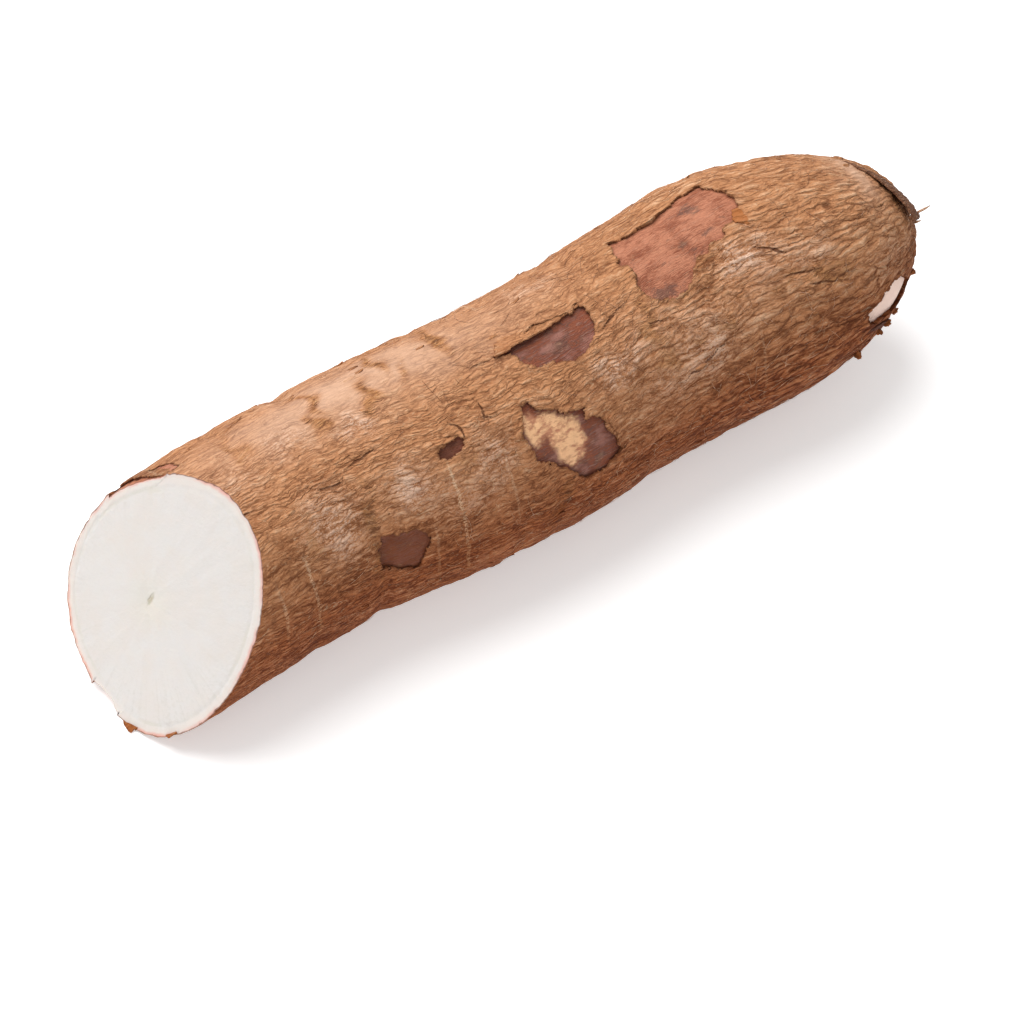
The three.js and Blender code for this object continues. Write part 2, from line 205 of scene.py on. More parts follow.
# Blots on the bark as (t, turn, half length, half width, strength).
DUST_AND_RIM_LIGHT = (
    (-78, 136, 9, 9, 1.0), (-78, 88, 6, 6, 0.6), (-59, 99, 5, 5, 0.9), (-54, 135, 6, 7, 0.8),
    (-27, 136, 6, 6, 0.7), (10, 67, 7, 5, 0.5), (19, 129, 9, 3.5, 0.9), (71, 113, 8, 5, 0.9),
    (50, 145, 9, 6, 0.6), (-98, 95, 8, 9, 0.3), (34, 150, 11, 7, 0.35), (86, 126, 8, 5, 0.35),
    (-40, 150, 9, 7, 0.4), (-60, 30, 14, 8, 0.6), (60, 10, 16, 9, 0.5), (0, 20, 12, 9, 0.4),
    (-100, 200, 10, 8, 0.3), (20, 215, 16, 9, 0.5), (-30, 255, 14, 8, 0.4),
    # The two long thin blots at turns 193 and 197 are painted light: a pale rim along the lower edge, as
    # light thrown up from the floor gives.
    (-70, 193, 40, 4, 0.5), (50, 197, 50, 4, 0.5), (112, 150, 10, 8, 0.3), (48, 126, 24, 11, 0.28),
)
STAINS_AND_SHADE = (
    (-91, 76, 2, 12, 0.5), (-65, 67, 1.3, 5, 0.9), (-63, 76, 1.4, 5, 0.8), (-67, 86, 1.7, 5, 0.9),
    (-40, 42, 1.5, 9, 0.8), (-43, 64, 1.6, 7, 0.9), (-49, 82, 1.8, 5, 1.0), (-52, 91, 2, 4, 0.9),
    (-24, 57, 1.5, 6, 0.9), (-23, 71, 1.5, 7, 0.8), (-37, 81, 1.3, 5, 0.5),
    (-65, 124, 1.5, 6, 0.7), (-68, 142, 2.5, 9, 1.0), (-70, 172, 1.5, 12, 0.9),
    (-87, 137, 1.5, 12, 0.7), (-8, 172, 2, 9, 0.8), (-35, 134, 6, 2.5, 0.7), (-12, 183, 3.5, 10, 0.8),
    (35, 112, 2, 5, 0.6), (33, 124, 3, 4.5, 1.0), (35, 141, 3.5, 5, 0.8), (38, 160, 2, 14, 0.4),
    (59, 118, 2, 7, 0.5), (57, 138, 4, 3, 0.9), (62, 156, 2, 8, 0.4), (48, 136, 1.6, 1.2, 1.0),
    (79, 133, 3, 2, 0.6), (88, 137, 4, 2, 0.9), (94, 141, 4, 2, 0.8), (83, 150, 1.5, 8, 0.5),
    # The blot at t 129, turn 118 is painted shade: the hollow under the thick flap at the tip.
    (129, 118, 3, 14, 1.0), (-91, 20, 3, 20, 0.5), (27, 20, 3, 22, 0.4), (-22, 215, 3, 14, 0.4),
    (64, 76, 6, 2.5, 1.0), (46, 111, 7, 5, 1.0), (62, 98, 9, 5, 0.4), (9, 104, 6, 3, 0.6),
    (110, 60, 5, 9, 0.3), (70, 235, 14, 9, 0.3), (-68, 250, 3, 20, 0.4), (62, 300, 4, 18, 0.4),
    (162, 0, 6, 300, 1.0),
)
PALE_ZONES = ((-52, 74, 46, 12, 1.0), (117, 84, 6, 18, 0.9))

SEAM_TURN = -55  # where the sheet's two long sides meet, clear of every patch
SHEET_START = -153.0
SHEET_CELL = 0.96
FINE_BAND = 1.7  # the sheet is finer this near to a patch's edge


def section(x):
    """The plain section at each x: its radius, how far its middle lies to +Y and how high it is."""
    before = 2 * STATIONS[0] - STATIONS[1]
    after = 2 * STATIONS[-1] - STATIONS[-2]
    stations = np.vstack((before, STATIONS, after))
    place = np.clip((x - STATION_START) / STATION_STEP, 0, len(STATIONS) - 1)
    index = np.minimum(place.astype(int), len(STATIONS) - 2)
    share = (place - index)[:, None]
    p0, p1, p2, p3 = (stations[index + k] for k in range(4))
    leave = (p2 - p0) / 2
    arrive = (p3 - p1) / 2
    curve = p1 + leave * share
    curve = curve + (3 * (p2 - p1) - 2 * leave - arrive) * share**2
    curve = curve + (2 * (p1 - p2) + leave + arrive) * share**3
    radius, side, rise = curve.T
    return radius * tip_closing(x), side, radius - BED_DEPTH + rise


def tip_closing(x):
    """The share of its full radius that the root has at each x: 1, and then down to 0 at the tip."""
    return np.sqrt(1 - np.clip((x - TIP_START) / (TIP_END - TIP_START), 0, 1) ** TIP_FULLNESS)


def smooth_step(value, low, high):
    share = np.clip((value - low) / (high - low), 0, 1)
    return share * share * (3 - 2 * share)


def x_at(t):
    """How far along X the way t over the surface has come."""
    closing = np.clip((t - TIP_START) / TIP_WAY, 0, 1)
    return np.minimum(t, TIP_START) + (TIP_END - TIP_START) * np.sin(closing * math.pi / 2)


def way_at(x):
    """The way over the surface to x."""
    closing = np.clip((x - TIP_START) / (TIP_END - TIP_START), 0, 1)
    return np.minimum(x, TIP_START) + TIP_WAY * np.arcsin(closing) * 2 / math.pi


def form(t, s):
    """The root's plain form, without its relief."""
    x = x_at(t)
    angle = s / MEAN_RADIUS
    radius, side, middle = section(x)
    lobes = OVAL_SHARE * np.cos(2 * (angle - OVAL_TURN))
    lobes = lobes + THREE_SIDED_SHARE * np.cos(3 * (angle - THREE_SIDED_TURN))
    reach = radius * (1 + lobes * (1 - smooth_step(x, *LOBES_FADE)))
    return np.column_stack((x, side + reach * np.cos(angle), middle + reach * np.sin(angle)))


def outward(t, s):
    """Which way the plain form faces."""
    step = 0.5
    along = form(t + step, s) - form(t - step, s)
    around = form(t, s + step) - form(t, s - step)
    out = np.cross(around, along)
    length = np.linalg.norm(out, axis=1)
    at_the_tip = length < 1e-6
    out[at_the_tip] = (1, 0, 0)
    length[at_the_tip] = 1
    return out / length[:, None]


def wrap(flat):
    """Flat places (t, s, height) in millimetres as points of the root in metres."""
    t, s, height = flat.T
    points = form(t, s) + outward(t, s) * height[:, None] + CENTRE_ON_ORIGIN
    points[:, 2] = np.maximum(points[:, 2], 0)
    return points * MM


def way_round(turn):
    """The way round the sheet, s, to a turn in degrees."""
    return np.radians(turn) * MEAN_RADIUS


def flatten(edge):
    """An outline of (x, turn) as flat places (t, s)."""
    x, turn = np.array(edge, float).T
    return np.column_stack((way_at(x), way_round(turn)))


# ---- Noise and fields over the flat sheet ----------------------------------------------------


def grain_of(flat):
    """Places for patterns that run along the root, join up all the way round it and close at the tip."""
    angle = flat[:, 1] / MEAN_RADIUS
    reach = MEAN_RADIUS * tip_closing(x_at(flat[:, 0])) ** GRAIN_CLOSING
    return np.column_stack((flat[:, 0], reach * np.cos(angle), reach * np.sin(angle)))


def bumps(points, length, width, seed=0):
    """Smooth noise from -1 to 1, with bumps about this long and this wide."""
    places = points / np.array((length, width, width)) + 31.7 * seed
    return np.array([noise.noise(place) for place in places.tolist()])


def wavy(points, reach, width, seed):
    """The same points, each strayed by up to about reach."""
    noise.seed_set(seed)  # without it, noise_vector differs from run to run
    places = points / width
    stray = np.array([noise.noise_vector(place)[:] for place in places.tolist()])
    return points + reach * stray


def distance_to(outline, places):
    """How far each flat place is from an outline, negative inside it."""
    nearest = np.full(len(places), np.inf)
    inside = np.zeros(len(places), bool)
    for start, end in zip(outline, np.roll(outline, -1, axis=0)):
        side = end - start
        offset = places - start
        share = np.clip(offset @ side / (side @ side), 0, 1)
        nearest = np.minimum(nearest, np.linalg.norm(offset - share[:, None] * side, axis=1))
        if side[1]:
            crosses = (start[1] > places[:, 1]) != (end[1] > places[:, 1])
            reach = start[0] + (places[:, 1] - start[1]) * side[0] / side[1]
            inside ^= crosses & (places[:, 0] < reach)
    return np.where(inside, -nearest, nearest)


def unrolled(places, middle):
    """Flat places counted round the root so that they lie within half a turn of middle."""
    around = (places[:, 1] - middle + FULL_TURN / 2) % FULL_TURN - FULL_TURN / 2
    return np.column_stack((places[:, 0], around + middle))


def torn_distance(outline, places, tear=EDGE_TEAR):
    """The distance to an outline after its edge is torn into steps and teeth."""
    places = unrolled(places, outline[:, 1].mean())
    distance = distance_to(outline, places)
    near = np.abs(distance) < EDGE_NEAR
    if near.any():
        spots = np.column_stack((places[near], np.zeros(near.sum())))
        teeth = 0.9 * bumps(spots, 3.4, 2.8, 1) + 0.5 * bumps(spots, 1.4, 1.1, 2)
        distance[near] += tear * teeth
    return distance


def gash_distance(places):
    """How far each flat place is from the nearest open crack. A crack narrows towards its ends."""
    grain = grain_of(places)
    wandering = places + (wavy(grain, 0.7, 2.5, 14) - grain)[:, :2]
    nearest = np.full(len(places), GASH_REACH)
    for gash in GASHES:
        points = flatten(gash)
        bent = unrolled(wandering, points[0, 1])
        lengths = np.linalg.norm(np.diff(points, axis=0), axis=1)
        gone = 0
        for start, end, length in zip(points, points[1:], lengths):
            side = end - start
            offset = bent - start
            share = np.clip(offset @ side / length**2, 0, 1)
            along = (gone + share * length) / lengths.sum()
            narrowed = 0.7 * GASH_HALF * (2 * along - 1) ** 2
            nearest = np.minimum(nearest, np.linalg.norm(offset - share[:, None] * side, axis=1) + narrowed)
            gone += length
    return nearest


def openings(places):
    """The distance to the nearest peeled patch, and which one it is."""
    distances = np.array([torn_distance(flatten(edge), places) for _, _, edge in PATCHES])
    which = distances.argmin(axis=0)
    return distances[which, np.arange(len(places))], which


def blots(flat, spots):
    """How strong a set of soft blots is at each flat place, from 0 to 1."""
    grain = grain_of(flat)
    places = flat[:, :2] + (wavy(grain, 4, 6, 15) - grain)[:, :2]
    total = np.zeros(len(places))
    for t, turn, half_length, half_width, strength in spots:
        along = (places[:, 0] - t) / half_length
        middle = way_round(turn)
        around = unrolled(places, middle)[:, 1] - middle
        total += strength * np.exp(-(along**2) - (around / half_width) ** 2)
    return np.minimum(total, 1)


def swell(grain):
    """Height of the growth rings and broad bumps that bark and skin share."""
    height = 0.3 * bumps(grain, 45, 30, 3)
    wander = RING_WANDER * bumps(grain, 200, 30, 4)
    for t, depth, half in RINGS:
        height -= depth * np.exp(-(((grain[:, 0] - t - wander) / half) ** 2))
    return height


def wrinkles(grain, calm):
    """Height of the wrinkles and cracks of the bark, which coarsen towards the tip."""
    coarse = smooth_step(grain[:, 0], 0, 110)
    bent = wavy(grain, 3.2, 15, 5)
    folds = np.abs(bumps(bent, 15, 3.6, 6)) - 0.2
    creases = np.abs(bumps(wavy(bent, 1.2, 5, 7), 7, 2.0, 8)) - 0.2
    height = (0.4 + 0.5 * coarse) * folds + (0.45 + 0.3 * coarse) * creases
    height += (0.25 + 0.35 * coarse) * bumps(bent, 26, 7, 9)
    return height * (1 - 0.65 * calm)


# ---- Mesh helpers ----------------------------------------------------------------------------


def coordinates(bm):
    return np.array([vertex.co[:] for vertex in bm.verts])


def move_vertices(bm, points):
    for vertex, point in zip(bm.verts, points.tolist()):
        vertex.co = point


def put(name, data):
    """A new object in the scene."""
    thing = bpy.data.objects.new(name, data)
    bpy.context.scene.collection.objects.link(thing)
    return thing


def put_mesh(bm, name, materials):
    """A bmesh as a new object in the scene."""
    mesh = bpy.data.meshes.new(name)
    bm.to_mesh(mesh)
    bm.free()
    for material in materials:
        mesh.materials.append(material)
    return put(name, mesh)


def flat_grid(low, high, cell):
    """A bmesh sheet of square cells between two corners (t, s)."""
    bm = bmesh.new()
    cells = np.maximum(np.ceil((high - low) / cell).astype(int), 2)
    bmesh.ops.create_grid(bm, x_segments=int(cells[0]), y_segments=int(cells[1]), size=0.5)
    bmesh.ops.scale(bm, verts=bm.verts, vec=(*(high - low), 1))
    bmesh.ops.translate(bm, verts=bm.verts, vec=(*(high + low) / 2, 0))
    return bm


# ---- The root --------------------------------------------------------------------------------

RIM_REACH = 0.3  # vertices this near to a patch's edge are pulled onto it
OVERHANG = 0.3  # how far torn bark leans out over a patch
UNDERCUT = 0.35  # how far the skin goes on under torn bark
CUT_RINGS = (0.35, 0.8, 1.5, 2.2, 2.5, 2.8, 3.1, 3.5, 4.4)  # ways in from the edge of the cut face
FLESH_RINGS = 18


def edge_slope(distance_at, places):
    """Which way, and how steeply, the distance to an edge rises at each flat place."""
    step = 0.1
    offsets = (np.array((step, 0)), np.array((0, step)))
    return np.column_stack(
        [(distance_at(places + offset) - distance_at(places - offset)) / (2 * step) for offset in offsets]
    )


def snap_to_edge(bm, distance_at, reach):
    """Pulls the vertices that lie within reach of an edge onto it, and returns every distance."""
    points = coordinates(bm)
    distance = distance_at(points[:, :2])
    near = np.abs(distance) < reach
    slope = edge_slope(distance_at, points[near, :2])
    steepness = np.maximum((slope**2).sum(axis=1), 0.25)
    pull = np.clip(-distance[near] / steepness, -reach, reach)
    points[near, :2] += slope * pull[:, None]
    distance[near] = 0
    move_vertices(bm, points)
    return distance


def store(bm, **attributes):
    """Keeps a value for every vertex, or one value for them all, as attributes of the mesh."""
    for key, values in attributes.items():
        values = np.broadcast_to(values, (len(bm.verts), *np.shape(values)[1:]))
        layers = bm.verts.layers.float_vector if values.ndim == 2 else bm.verts.layers.float
        layer = layers.new(key)
        for vertex, value in zip(bm.verts, values.tolist()):
            vertex[layer] = value


def peeled_sheet():
    """The flat sheet of bark with its peeled patches let in. Returns it and which vertices are floor."""
    low = np.array((SHEET_START, way_round(SEAM_TURN)))
    high = np.array((TIP_START + TIP_WAY, way_round(SEAM_TURN + 360)))
    bm = flat_grid(low, high, SHEET_CELL)

    places = coordinates(bm)[:, :2]
    near = (np.abs(openings(places)[0]) < FINE_BAND + SHEET_CELL / 2) | (gash_distance(places) < GASH_BAND)
    bm.verts.index_update()
    edges = [edge for edge in bm.edges if all(near[vertex.index] for vertex in edge.verts)]
    bmesh.ops.subdivide_edges(bm, edges=edges, cuts=1, use_grid_fill=True)

    distance = snap_to_edge(bm, lambda places: openings(places)[0], RIM_REACH)
    bm.verts.index_update()
    peeled = [face for face in bm.faces if sum(distance[vertex.index] for vertex in face.verts) < 0]
    made = bmesh.ops.extrude_face_region(bm, geom=peeled)["geom"]
    bmesh.ops.delete(bm, geom=peeled, context="FACES")
    floor = set(part for part in made if isinstance(part, bmesh.types.BMVert))
    return bm, np.array([vertex in floor for vertex in bm.verts])


def lean_over_edges(places, distance, floor):
    """Moves the rim of torn bark out over its patch, and the rim of the skin back under the bark."""
    rim = np.abs(distance) < RIM_REACH / 3
    slope = edge_slope(lambda near: openings(near)[0], places[rim])
    slope /= np.maximum(np.linalg.norm(slope, axis=1), 0.5)[:, None]
    lean = np.where(floor[rim], UNDERCUT, -OVERHANG)
    places[rim] += slope * lean[:, None]


def root_relief(bm, floor):
    """Works out the height of every vertex of the sheet, wraps it and stores what its materials read."""
    flat = coordinates(bm)
    distance, which = openings(flat[:, :2])
    lean_over_edges(flat[:, :2], distance, floor)
    grain = grain_of(flat)
    stain = blots(flat, STAINS_AND_SHADE)
    calm = blots(flat, PALE_ZONES) * (1 - stain)
    folds = wrinkles(grain, calm)
    skin = 0.1 * bumps(grain, 9, 1.6, 11) + 0.18 * bumps(grain, 14, 9, 12)
    off = np.maximum(distance, 0)
    curl = np.maximum(bumps(grain, 7, 7, 13), 0) * 1.5 + 0.12
    depth = np.array([patch[0] for patch in PATCHES])[which]
    sloped = 0.2 + 0.8 * smooth_step(-distance, 0, BITE_SLOPE)
    depth = np.where(np.isin(which, BITES), depth * sloped, depth)
    gash = gash_distance(flat[:, :2])
    bark = folds * (1 - 0.6 * np.exp(-off / 1.2)) + curl * np.exp(-off / 1.7)
    bark -= GASH_DEPTH * np.exp(-((gash / 1.1) ** 2))
    flat[:, 2] = swell(grain) + np.where(floor, skin - depth, bark)

    scar = np.clip(0.5 - torn_distance(flatten(SCAR), flat[:, :2], 1.4) / 2.5, 0, 1)
    store(
        bm,
        grain=grain,
        relief=np.where(floor, 0, folds),
        torn=np.exp(-np.abs(distance) / 0.7),
        gash=gash,
        dust=blots(flat, DUST_AND_RIM_LIGHT),
        stain=stain,
        calm=calm,
        tone=np.array([patch[1] for patch in PATCHES])[which],
        scar=scar * floor,
        scraped=((which == SCRAPE) & floor).astype(float),
        peeled=np.where(floor, depth, 0),
        inward=0.0,
    )
    move_vertices(bm, wrap(flat))


def around_mean(values, spread):
    """Values round a closed loop, each averaged with its neighbours up to spread places away."""
    return sum(np.roll(values, shift) for shift in range(-spread, spread + 1)) / (2 * spread + 1)


def fill_cut(bm, rim):
    """Closes the cut with rings of faces: rind, the groove that drying leaves, and flesh to the pith."""
    cap = bmesh.ops.contextual_create(bm, geom=rim)["faces"][0]
    inward = bm.verts.layers.float["inward"]
    peeled = bm.verts.layers.float["peeled"]
    middle = PITH_AT - CUT_NORMAL * np.dot(PITH_AT - CUT_AT, CUT_NORMAL)
    spokes = np.array([vertex.co[:] for vertex in cap.verts]) / MM - middle
    missing = np.array([vertex[peeled] for vertex in cap.verts])
    reach = np.linalg.norm(spokes, axis=1)
    angle = np.unwrap(np.arctan2(spokes @ CUT_RISE, spokes @ CUT_SIDE))
    full_turn = 2 * math.pi * np.sign(angle[-1] - angle[0])
    even_angle = angle[0] + full_turn * np.arange(len(angle)) / len(angle)
    order = np.argsort(angle)
    even_reach = np.interp(even_angle, angle[order], around_mean(reach, 4)[order], period=2 * math.pi)
    lowest = np.min([np.roll(even_reach, shift) for shift in range(-6, 7)], axis=0)
    even_reach = around_mean(lowest, 9)

    last = CUT_RINGS[-1]
    rings = [(way, 0.0) for way in CUT_RINGS]
    rings += [(last, share) for share in np.linspace(0, 1, FLESH_RINGS + 1)[1:-1]]
    for way, share in rings:
        bmesh.ops.inset_individual(bm, faces=[cap], thickness=0)
        even = smooth_step(way, 0.3, last) if share == 0 else 1
        turn = angle * (1 - even) + even_angle * even
        length = (reach * (1 - even) + even_reach * even - way) * (1 - share)
        points = length[:, None] * (np.outer(np.cos(turn), CUT_SIDE) + np.outer(np.sin(turn), CUT_RISE))
        grooved = -0.08 * math.exp(-(((way - 2.8) / 0.4) ** 2)) * (share == 0)
        grainy = 0.16 * bumps(points, 3.5, 3.5, 21) + 0.05 * bumps(points, 1.2, 1.2, 22)
        hollow = 0.8 * np.exp(-(length**2) / 8)
        points += middle + CUT_NORMAL * (grooved + grainy * min(way, 1) - hollow)[:, None]
        for vertex, point, depth in zip(cap.verts, points * MM, missing * (share == 0) + way):
            vertex.co = point
            vertex[inward] = depth + share * 30
    bmesh.ops.poke(bm, faces=[cap])


def build_root(materials):
    bm, floor = peeled_sheet()
    root_relief(bm, floor)
    peeled = bm.verts.layers.float["peeled"]
    for face in bm.faces:
        face.material_index = int(all(vertex[peeled] > 0 for vertex in face.verts))
    for edge in bm.edges:
        slots = {face.material_index for face in edge.link_faces}
        edge.smooth = len(slots) == 1
    bmesh.ops.remove_doubles(bm, verts=bm.verts, dist=0.002 * MM)
    cut = bmesh.ops.bisect_plane(
        bm,
        geom=bm.verts[:] + bm.edges[:] + bm.faces[:],
        dist=0.001 * MM,
        plane_co=CUT_AT * MM,
        plane_no=CUT_NORMAL,
        clear_outer=True,
    )
    rim = [part for part in cut["geom_cut"] if isinstance(part, bmesh.types.BMEdge)]
    kept = set(bm.faces)
    fill_cut(bm, rim)
    for face in bm.faces:
        if face not in kept:
            face.material_index = 2
    for edge in rim:
        edge.smooth = False
    return finish_piece(bm, "root_body", materials)


def finish_piece(bm, name, materials):
    """Makes a bmesh a smooth-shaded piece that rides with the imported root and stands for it."""
    bmesh.ops.recalc_face_normals(bm, faces=bm.faces)
    for face in bm.faces:
        face.smooth = True
    piece = put_mesh(bm, name, materials)
    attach(piece, BODY)
    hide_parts(NODE)
    return piece


def behind_cut(places):
    """How far flat places (t, s) lie behind the cut."""
    points = wrap(np.column_stack((places, np.zeros(len(places))))) / MM
    return (CUT_AT - points) @ CUT_NORMAL


# ---- Loose pieces ----------------------------------------------------------------------------


def flake_sheet(edge, cell, tear, thickness):
    """A flat flake with a torn outline and a thickness, as a bmesh over (t, s)."""
    outline = flatten(edge)
    low = outline.min(axis=0) - 2
    high = outline.max(axis=0) + 2
    bm = flat_grid(low, high, cell)

    def distance_at(places):
        return torn_distance(outline, places, tear)

    distance = snap_to_edge(bm, distance_at, cell * 0.6)
    bm.verts.index_update()
    outside = [face for face in bm.faces if sum(distance[vertex.index] for vertex in face.verts) >= 0]
    bmesh.ops.delete(bm, geom=outside, context="FACES")
    bmesh.ops.solidify(bm, geom=bm.faces[:], thickness=thickness)
    return bm


def curl_flake(bm, hinge, free, lift):
    """Height of a flake that hangs on at its hinge and lifts towards its free side."""
    flat = coordinates(bm)
    hinge, free = flatten((hinge, free))
    reach = free - hinge
    share = np.clip((flat[:, :2] - hinge) @ reach / (reach @ reach), 0, 1)
    grain = grain_of(flat)
    return flat, grain, -FLAKE_SUNK + (lift + FLAKE_SUNK) * share**1.6 + 0.25 * bumps(grain, 5, 2, 31) * share


def join_bmeshes(parts):
    """One bmesh from several, which share their attributes."""
    joined = bmesh.new()
    for part in parts:
        mesh = bpy.data.meshes.new("part")
        part.to_mesh(mesh)
        part.free()
        joined.from_mesh(mesh)
        bpy.data.meshes.remove(mesh)
    return joined


def build_flakes(materials):
    parts = []
    for edge, hinge, free, lift, dark, orange in FLAKES:
        bm = flake_sheet(edge, 0.7, 0.7, FLAKE_THICKNESS)
        flat, grain, height = curl_flake(bm, hinge, free, lift)
        flat[:, 2] += height + swell(grain) + 0.6 * wrinkles(grain, 0)
        store(bm, grain=grain, stain=0.6 * dark, dark=dark, orange=orange, gash=GASH_REACH)
        move_vertices(bm, wrap(flat))
        parts.append(bm)
    return finish_piece(join_bmeshes(parts), "loose_bark", materials)


OPEN_TURNS = (-50, 240)  # scales and fibres keep off the ground
SCALES_ALONG = (-122, 128)
FIBRES_ALONG = (-125, 140, 80)  # they are thickest at the last of these
SCALE_THICKNESS = 0.22
SCALE_SUNK = 0.05


def build_scales(materials, count):
    """Small torn scales of bark all over the root, each lifted at one end."""
    draw = random.Random(41)
    parts = []
    for _ in range(count):
        t = draw.uniform(*SCALES_ALONG)
        s = way_round(draw.uniform(*OPEN_TURNS))
        length = draw.uniform(2.0, 5.5)
        width = length * draw.uniform(0.25, 0.5)
        lean = draw.gauss(0, 0.35)
        lift = draw.uniform(0.25, 0.8)
        place = np.array(((t, s),))
        if openings(place)[0][0] < 3 or behind_cut(place)[0] < length:
            continue
        bm = bmesh.new()
        bmesh.ops.create_grid(bm, x_segments=4, y_segments=2, size=0.5)
        flat = coordinates(bm)
        taper = 1 - 1.6 * np.abs(flat[:, 0] + 0.1) ** 1.5
        flat[:, 1] *= taper
        flat[:, :2] += np.array([(draw.uniform(-0.07, 0.07), draw.uniform(-0.07, 0.07)) for _ in flat])
        bend = lift * np.clip(flat[:, 0] + 0.5, 0, 1) ** 2 * (1 if draw.random() < 0.5 else 0.6)
        flat[:, :2] *= (length, width)
        turned = np.array(((math.cos(lean), math.sin(lean)), (-math.sin(lean), math.cos(lean))))
        flat[:, :2] = flat[:, :2] @ turned + (t, s)
        move_vertices(bm, flat)
        bmesh.ops.solidify(bm, geom=bm.faces[:], thickness=SCALE_THICKNESS)
        flat = coordinates(bm)
        grain = grain_of(flat)
        flat[:, 2] += np.tile(bend, 2) + swell(grain) + wrinkles(grain, 0) - SCALE_SUNK
        store(bm, grain=grain, relief=0.1, stain=draw.uniform(0, 0.4), gash=GASH_REACH)
        move_vertices(bm, wrap(flat))
        parts.append(bm)
    return finish_piece(join_bmeshes(parts), "bark_scales", materials)


def build_crumbs(materials):
    """Crumbs of bark and rind that hang round the scrape near the tip."""
    draw = random.Random(42)
    parts = []
    for x, turn, radius in CRUMBS:
        bm = bmesh.new()
        bmesh.ops.create_icosphere(bm, subdivisions=3, radius=radius)
        points = coordinates(bm)
        shape = 1 + 0.7 * bumps(points, 0.8 * radius, 0.8 * radius, draw.randint(50, 90))
        shape += 0.3 * bumps(points, 0.35 * radius, 0.35 * radius, draw.randint(50, 90))
        places = np.zeros((1, 3))
        places[0, :2] = flatten(((x, turn),))
        places[0, 2] = radius / 3
        centre = wrap(places)[0]
        stretch = np.array([draw.uniform(0.75, 1.25) for _ in range(3)])
        move_vertices(bm, points * shape[:, None] * stretch * MM + centre)
        grain = grain_of(np.repeat(places, len(points), axis=0)) + points
        store(bm, grain=grain, dark=0.2, orange=0.45, gash=GASH_REACH)
        parts.append(bm)
    return finish_piece(join_bmeshes(parts), "bark_crumbs", materials)


def loop_edges(loop):
    """The edges that run between a loop's own vertices, each once."""
    edges = [edge for vertex in loop for edge in vertex.link_edges if edge.other_vert(vertex) in loop]
    return list(dict.fromkeys(edges))


def strand(places, radius, bm):
    """Adds a thin three-sided strand that follows flat places (t, s, height) to a bmesh."""
    points = wrap(places) / MM
    ring = None
    for number, point in enumerate(points):
        ahead = points[min(number + 1, len(points) - 1)] - points[max(number - 1, 0)]
        way = Vector(ahead).normalized()
        slim = 0.35 if number in (0, len(points) - 1) else 1
        circle = bmesh.ops.create_circle(bm, segments=3, radius=radius * slim, cap_ends=number == 0)["verts"]
        bmesh.ops.rotate(bm, verts=circle, matrix=way.to_track_quat("Z", "Y").to_matrix(), cent=(0, 0, 0))
        bmesh.ops.translate(bm, verts=circle, vec=point)
        edges = loop_edges(circle)
        if ring:
            bmesh.ops.bridge_loops(bm, edges=ring + edges)
        ring = edges
    bmesh.ops.contextual_create(bm, geom=ring)


FIBRE_BUNDLE = 16  # a small bmesh is quicker to add to
STRAW_RADIUS = 0.5
STRAWS = (
    ((137, 138, -1), (138.5, 139, 2), (139.6, 140, 4.5), (140.4, 141, 6.5)),
    ((136, 146, -1), (137.5, 148, 1), (138.6, 151, 2.4)),
)  # stiff fibres that stand off the tip, each from one (x, turn, height) to the next


def fibre_path(t, s, length, lean, bow, lift):
    """Flat places along a bowed fibre that lies on the bark."""
    steps = np.linspace(-0.5, 0.5, 6)
    along = length * steps
    aside = bow * length * (1 - 4 * steps**2)
    flat = np.zeros((6, 3))
    flat[:, 0] = t + along * math.cos(lean) - aside * math.sin(lean)
    flat[:, 1] = s + along * math.sin(lean) + aside * math.cos(lean)
    grain = grain_of(flat)
    flat[:, 2] = swell(grain) + wrinkles(grain, 0) + lift
    return flat


def build_fibres(materials, count):
    """Fine fibres that lie on the bark at every angle, and a few that stand off the tip."""
    draw = random.Random(43)
    fibres = [
        (
            draw.triangular(*FIBRES_ALONG),
            way_round(draw.uniform(*OPEN_TURNS)),
            draw.uniform(2.5, 11),
            draw.gauss(0, 0.8),
            draw.gauss(0, 0.16),
            draw.uniform(0.14, 0.32),
            draw.uniform(0.04, 0.085),
        )
        for _ in range(count)
    ]
    middles = np.array([fibre[:2] for fibre in fibres]).reshape(-1, 2)
    clear = np.minimum(openings(middles)[0], behind_cut(middles) / 2)
    clear[blots(middles, PALE_ZONES) > 0.3] = 0
    lying = [fibre for fibre, room in zip(fibres, clear) if room > fibre[2] / 2]
    parts = []
    for first in range(0, len(lying), FIBRE_BUNDLE):
        bm = bmesh.new()
        for *shape, radius in lying[first : first + FIBRE_BUNDLE]:
            strand(fibre_path(*shape), radius, bm)
        parts.append(bm)
    bm = join_bmeshes(parts)
    for places in STRAWS:
        path = np.array([(*flatten(((x, turn),))[0], height) for x, turn, height in places])
        strand(path, STRAW_RADIUS, bm)
    bmesh.ops.scale(bm, verts=bm.verts, vec=(MM, MM, MM))
    store(bm, grain=coordinates(bm) / MM, dust=0.6, gash=GASH_REACH)
    return finish_piece(bm, "bark_fibres", materials)


# ---- Materials -------------------------------------------------------------------------------


def linear(red, green, blue):
    """A screen colour of 0 to 255 as the linear colour that Blender's sockets take."""
    shares = [value / 255 for value in (red, green, blue)]
    return tuple(share / 12.92 if share <= 0.04045 else ((share + 0.055) / 1.055) ** 2.4 for share in shares)


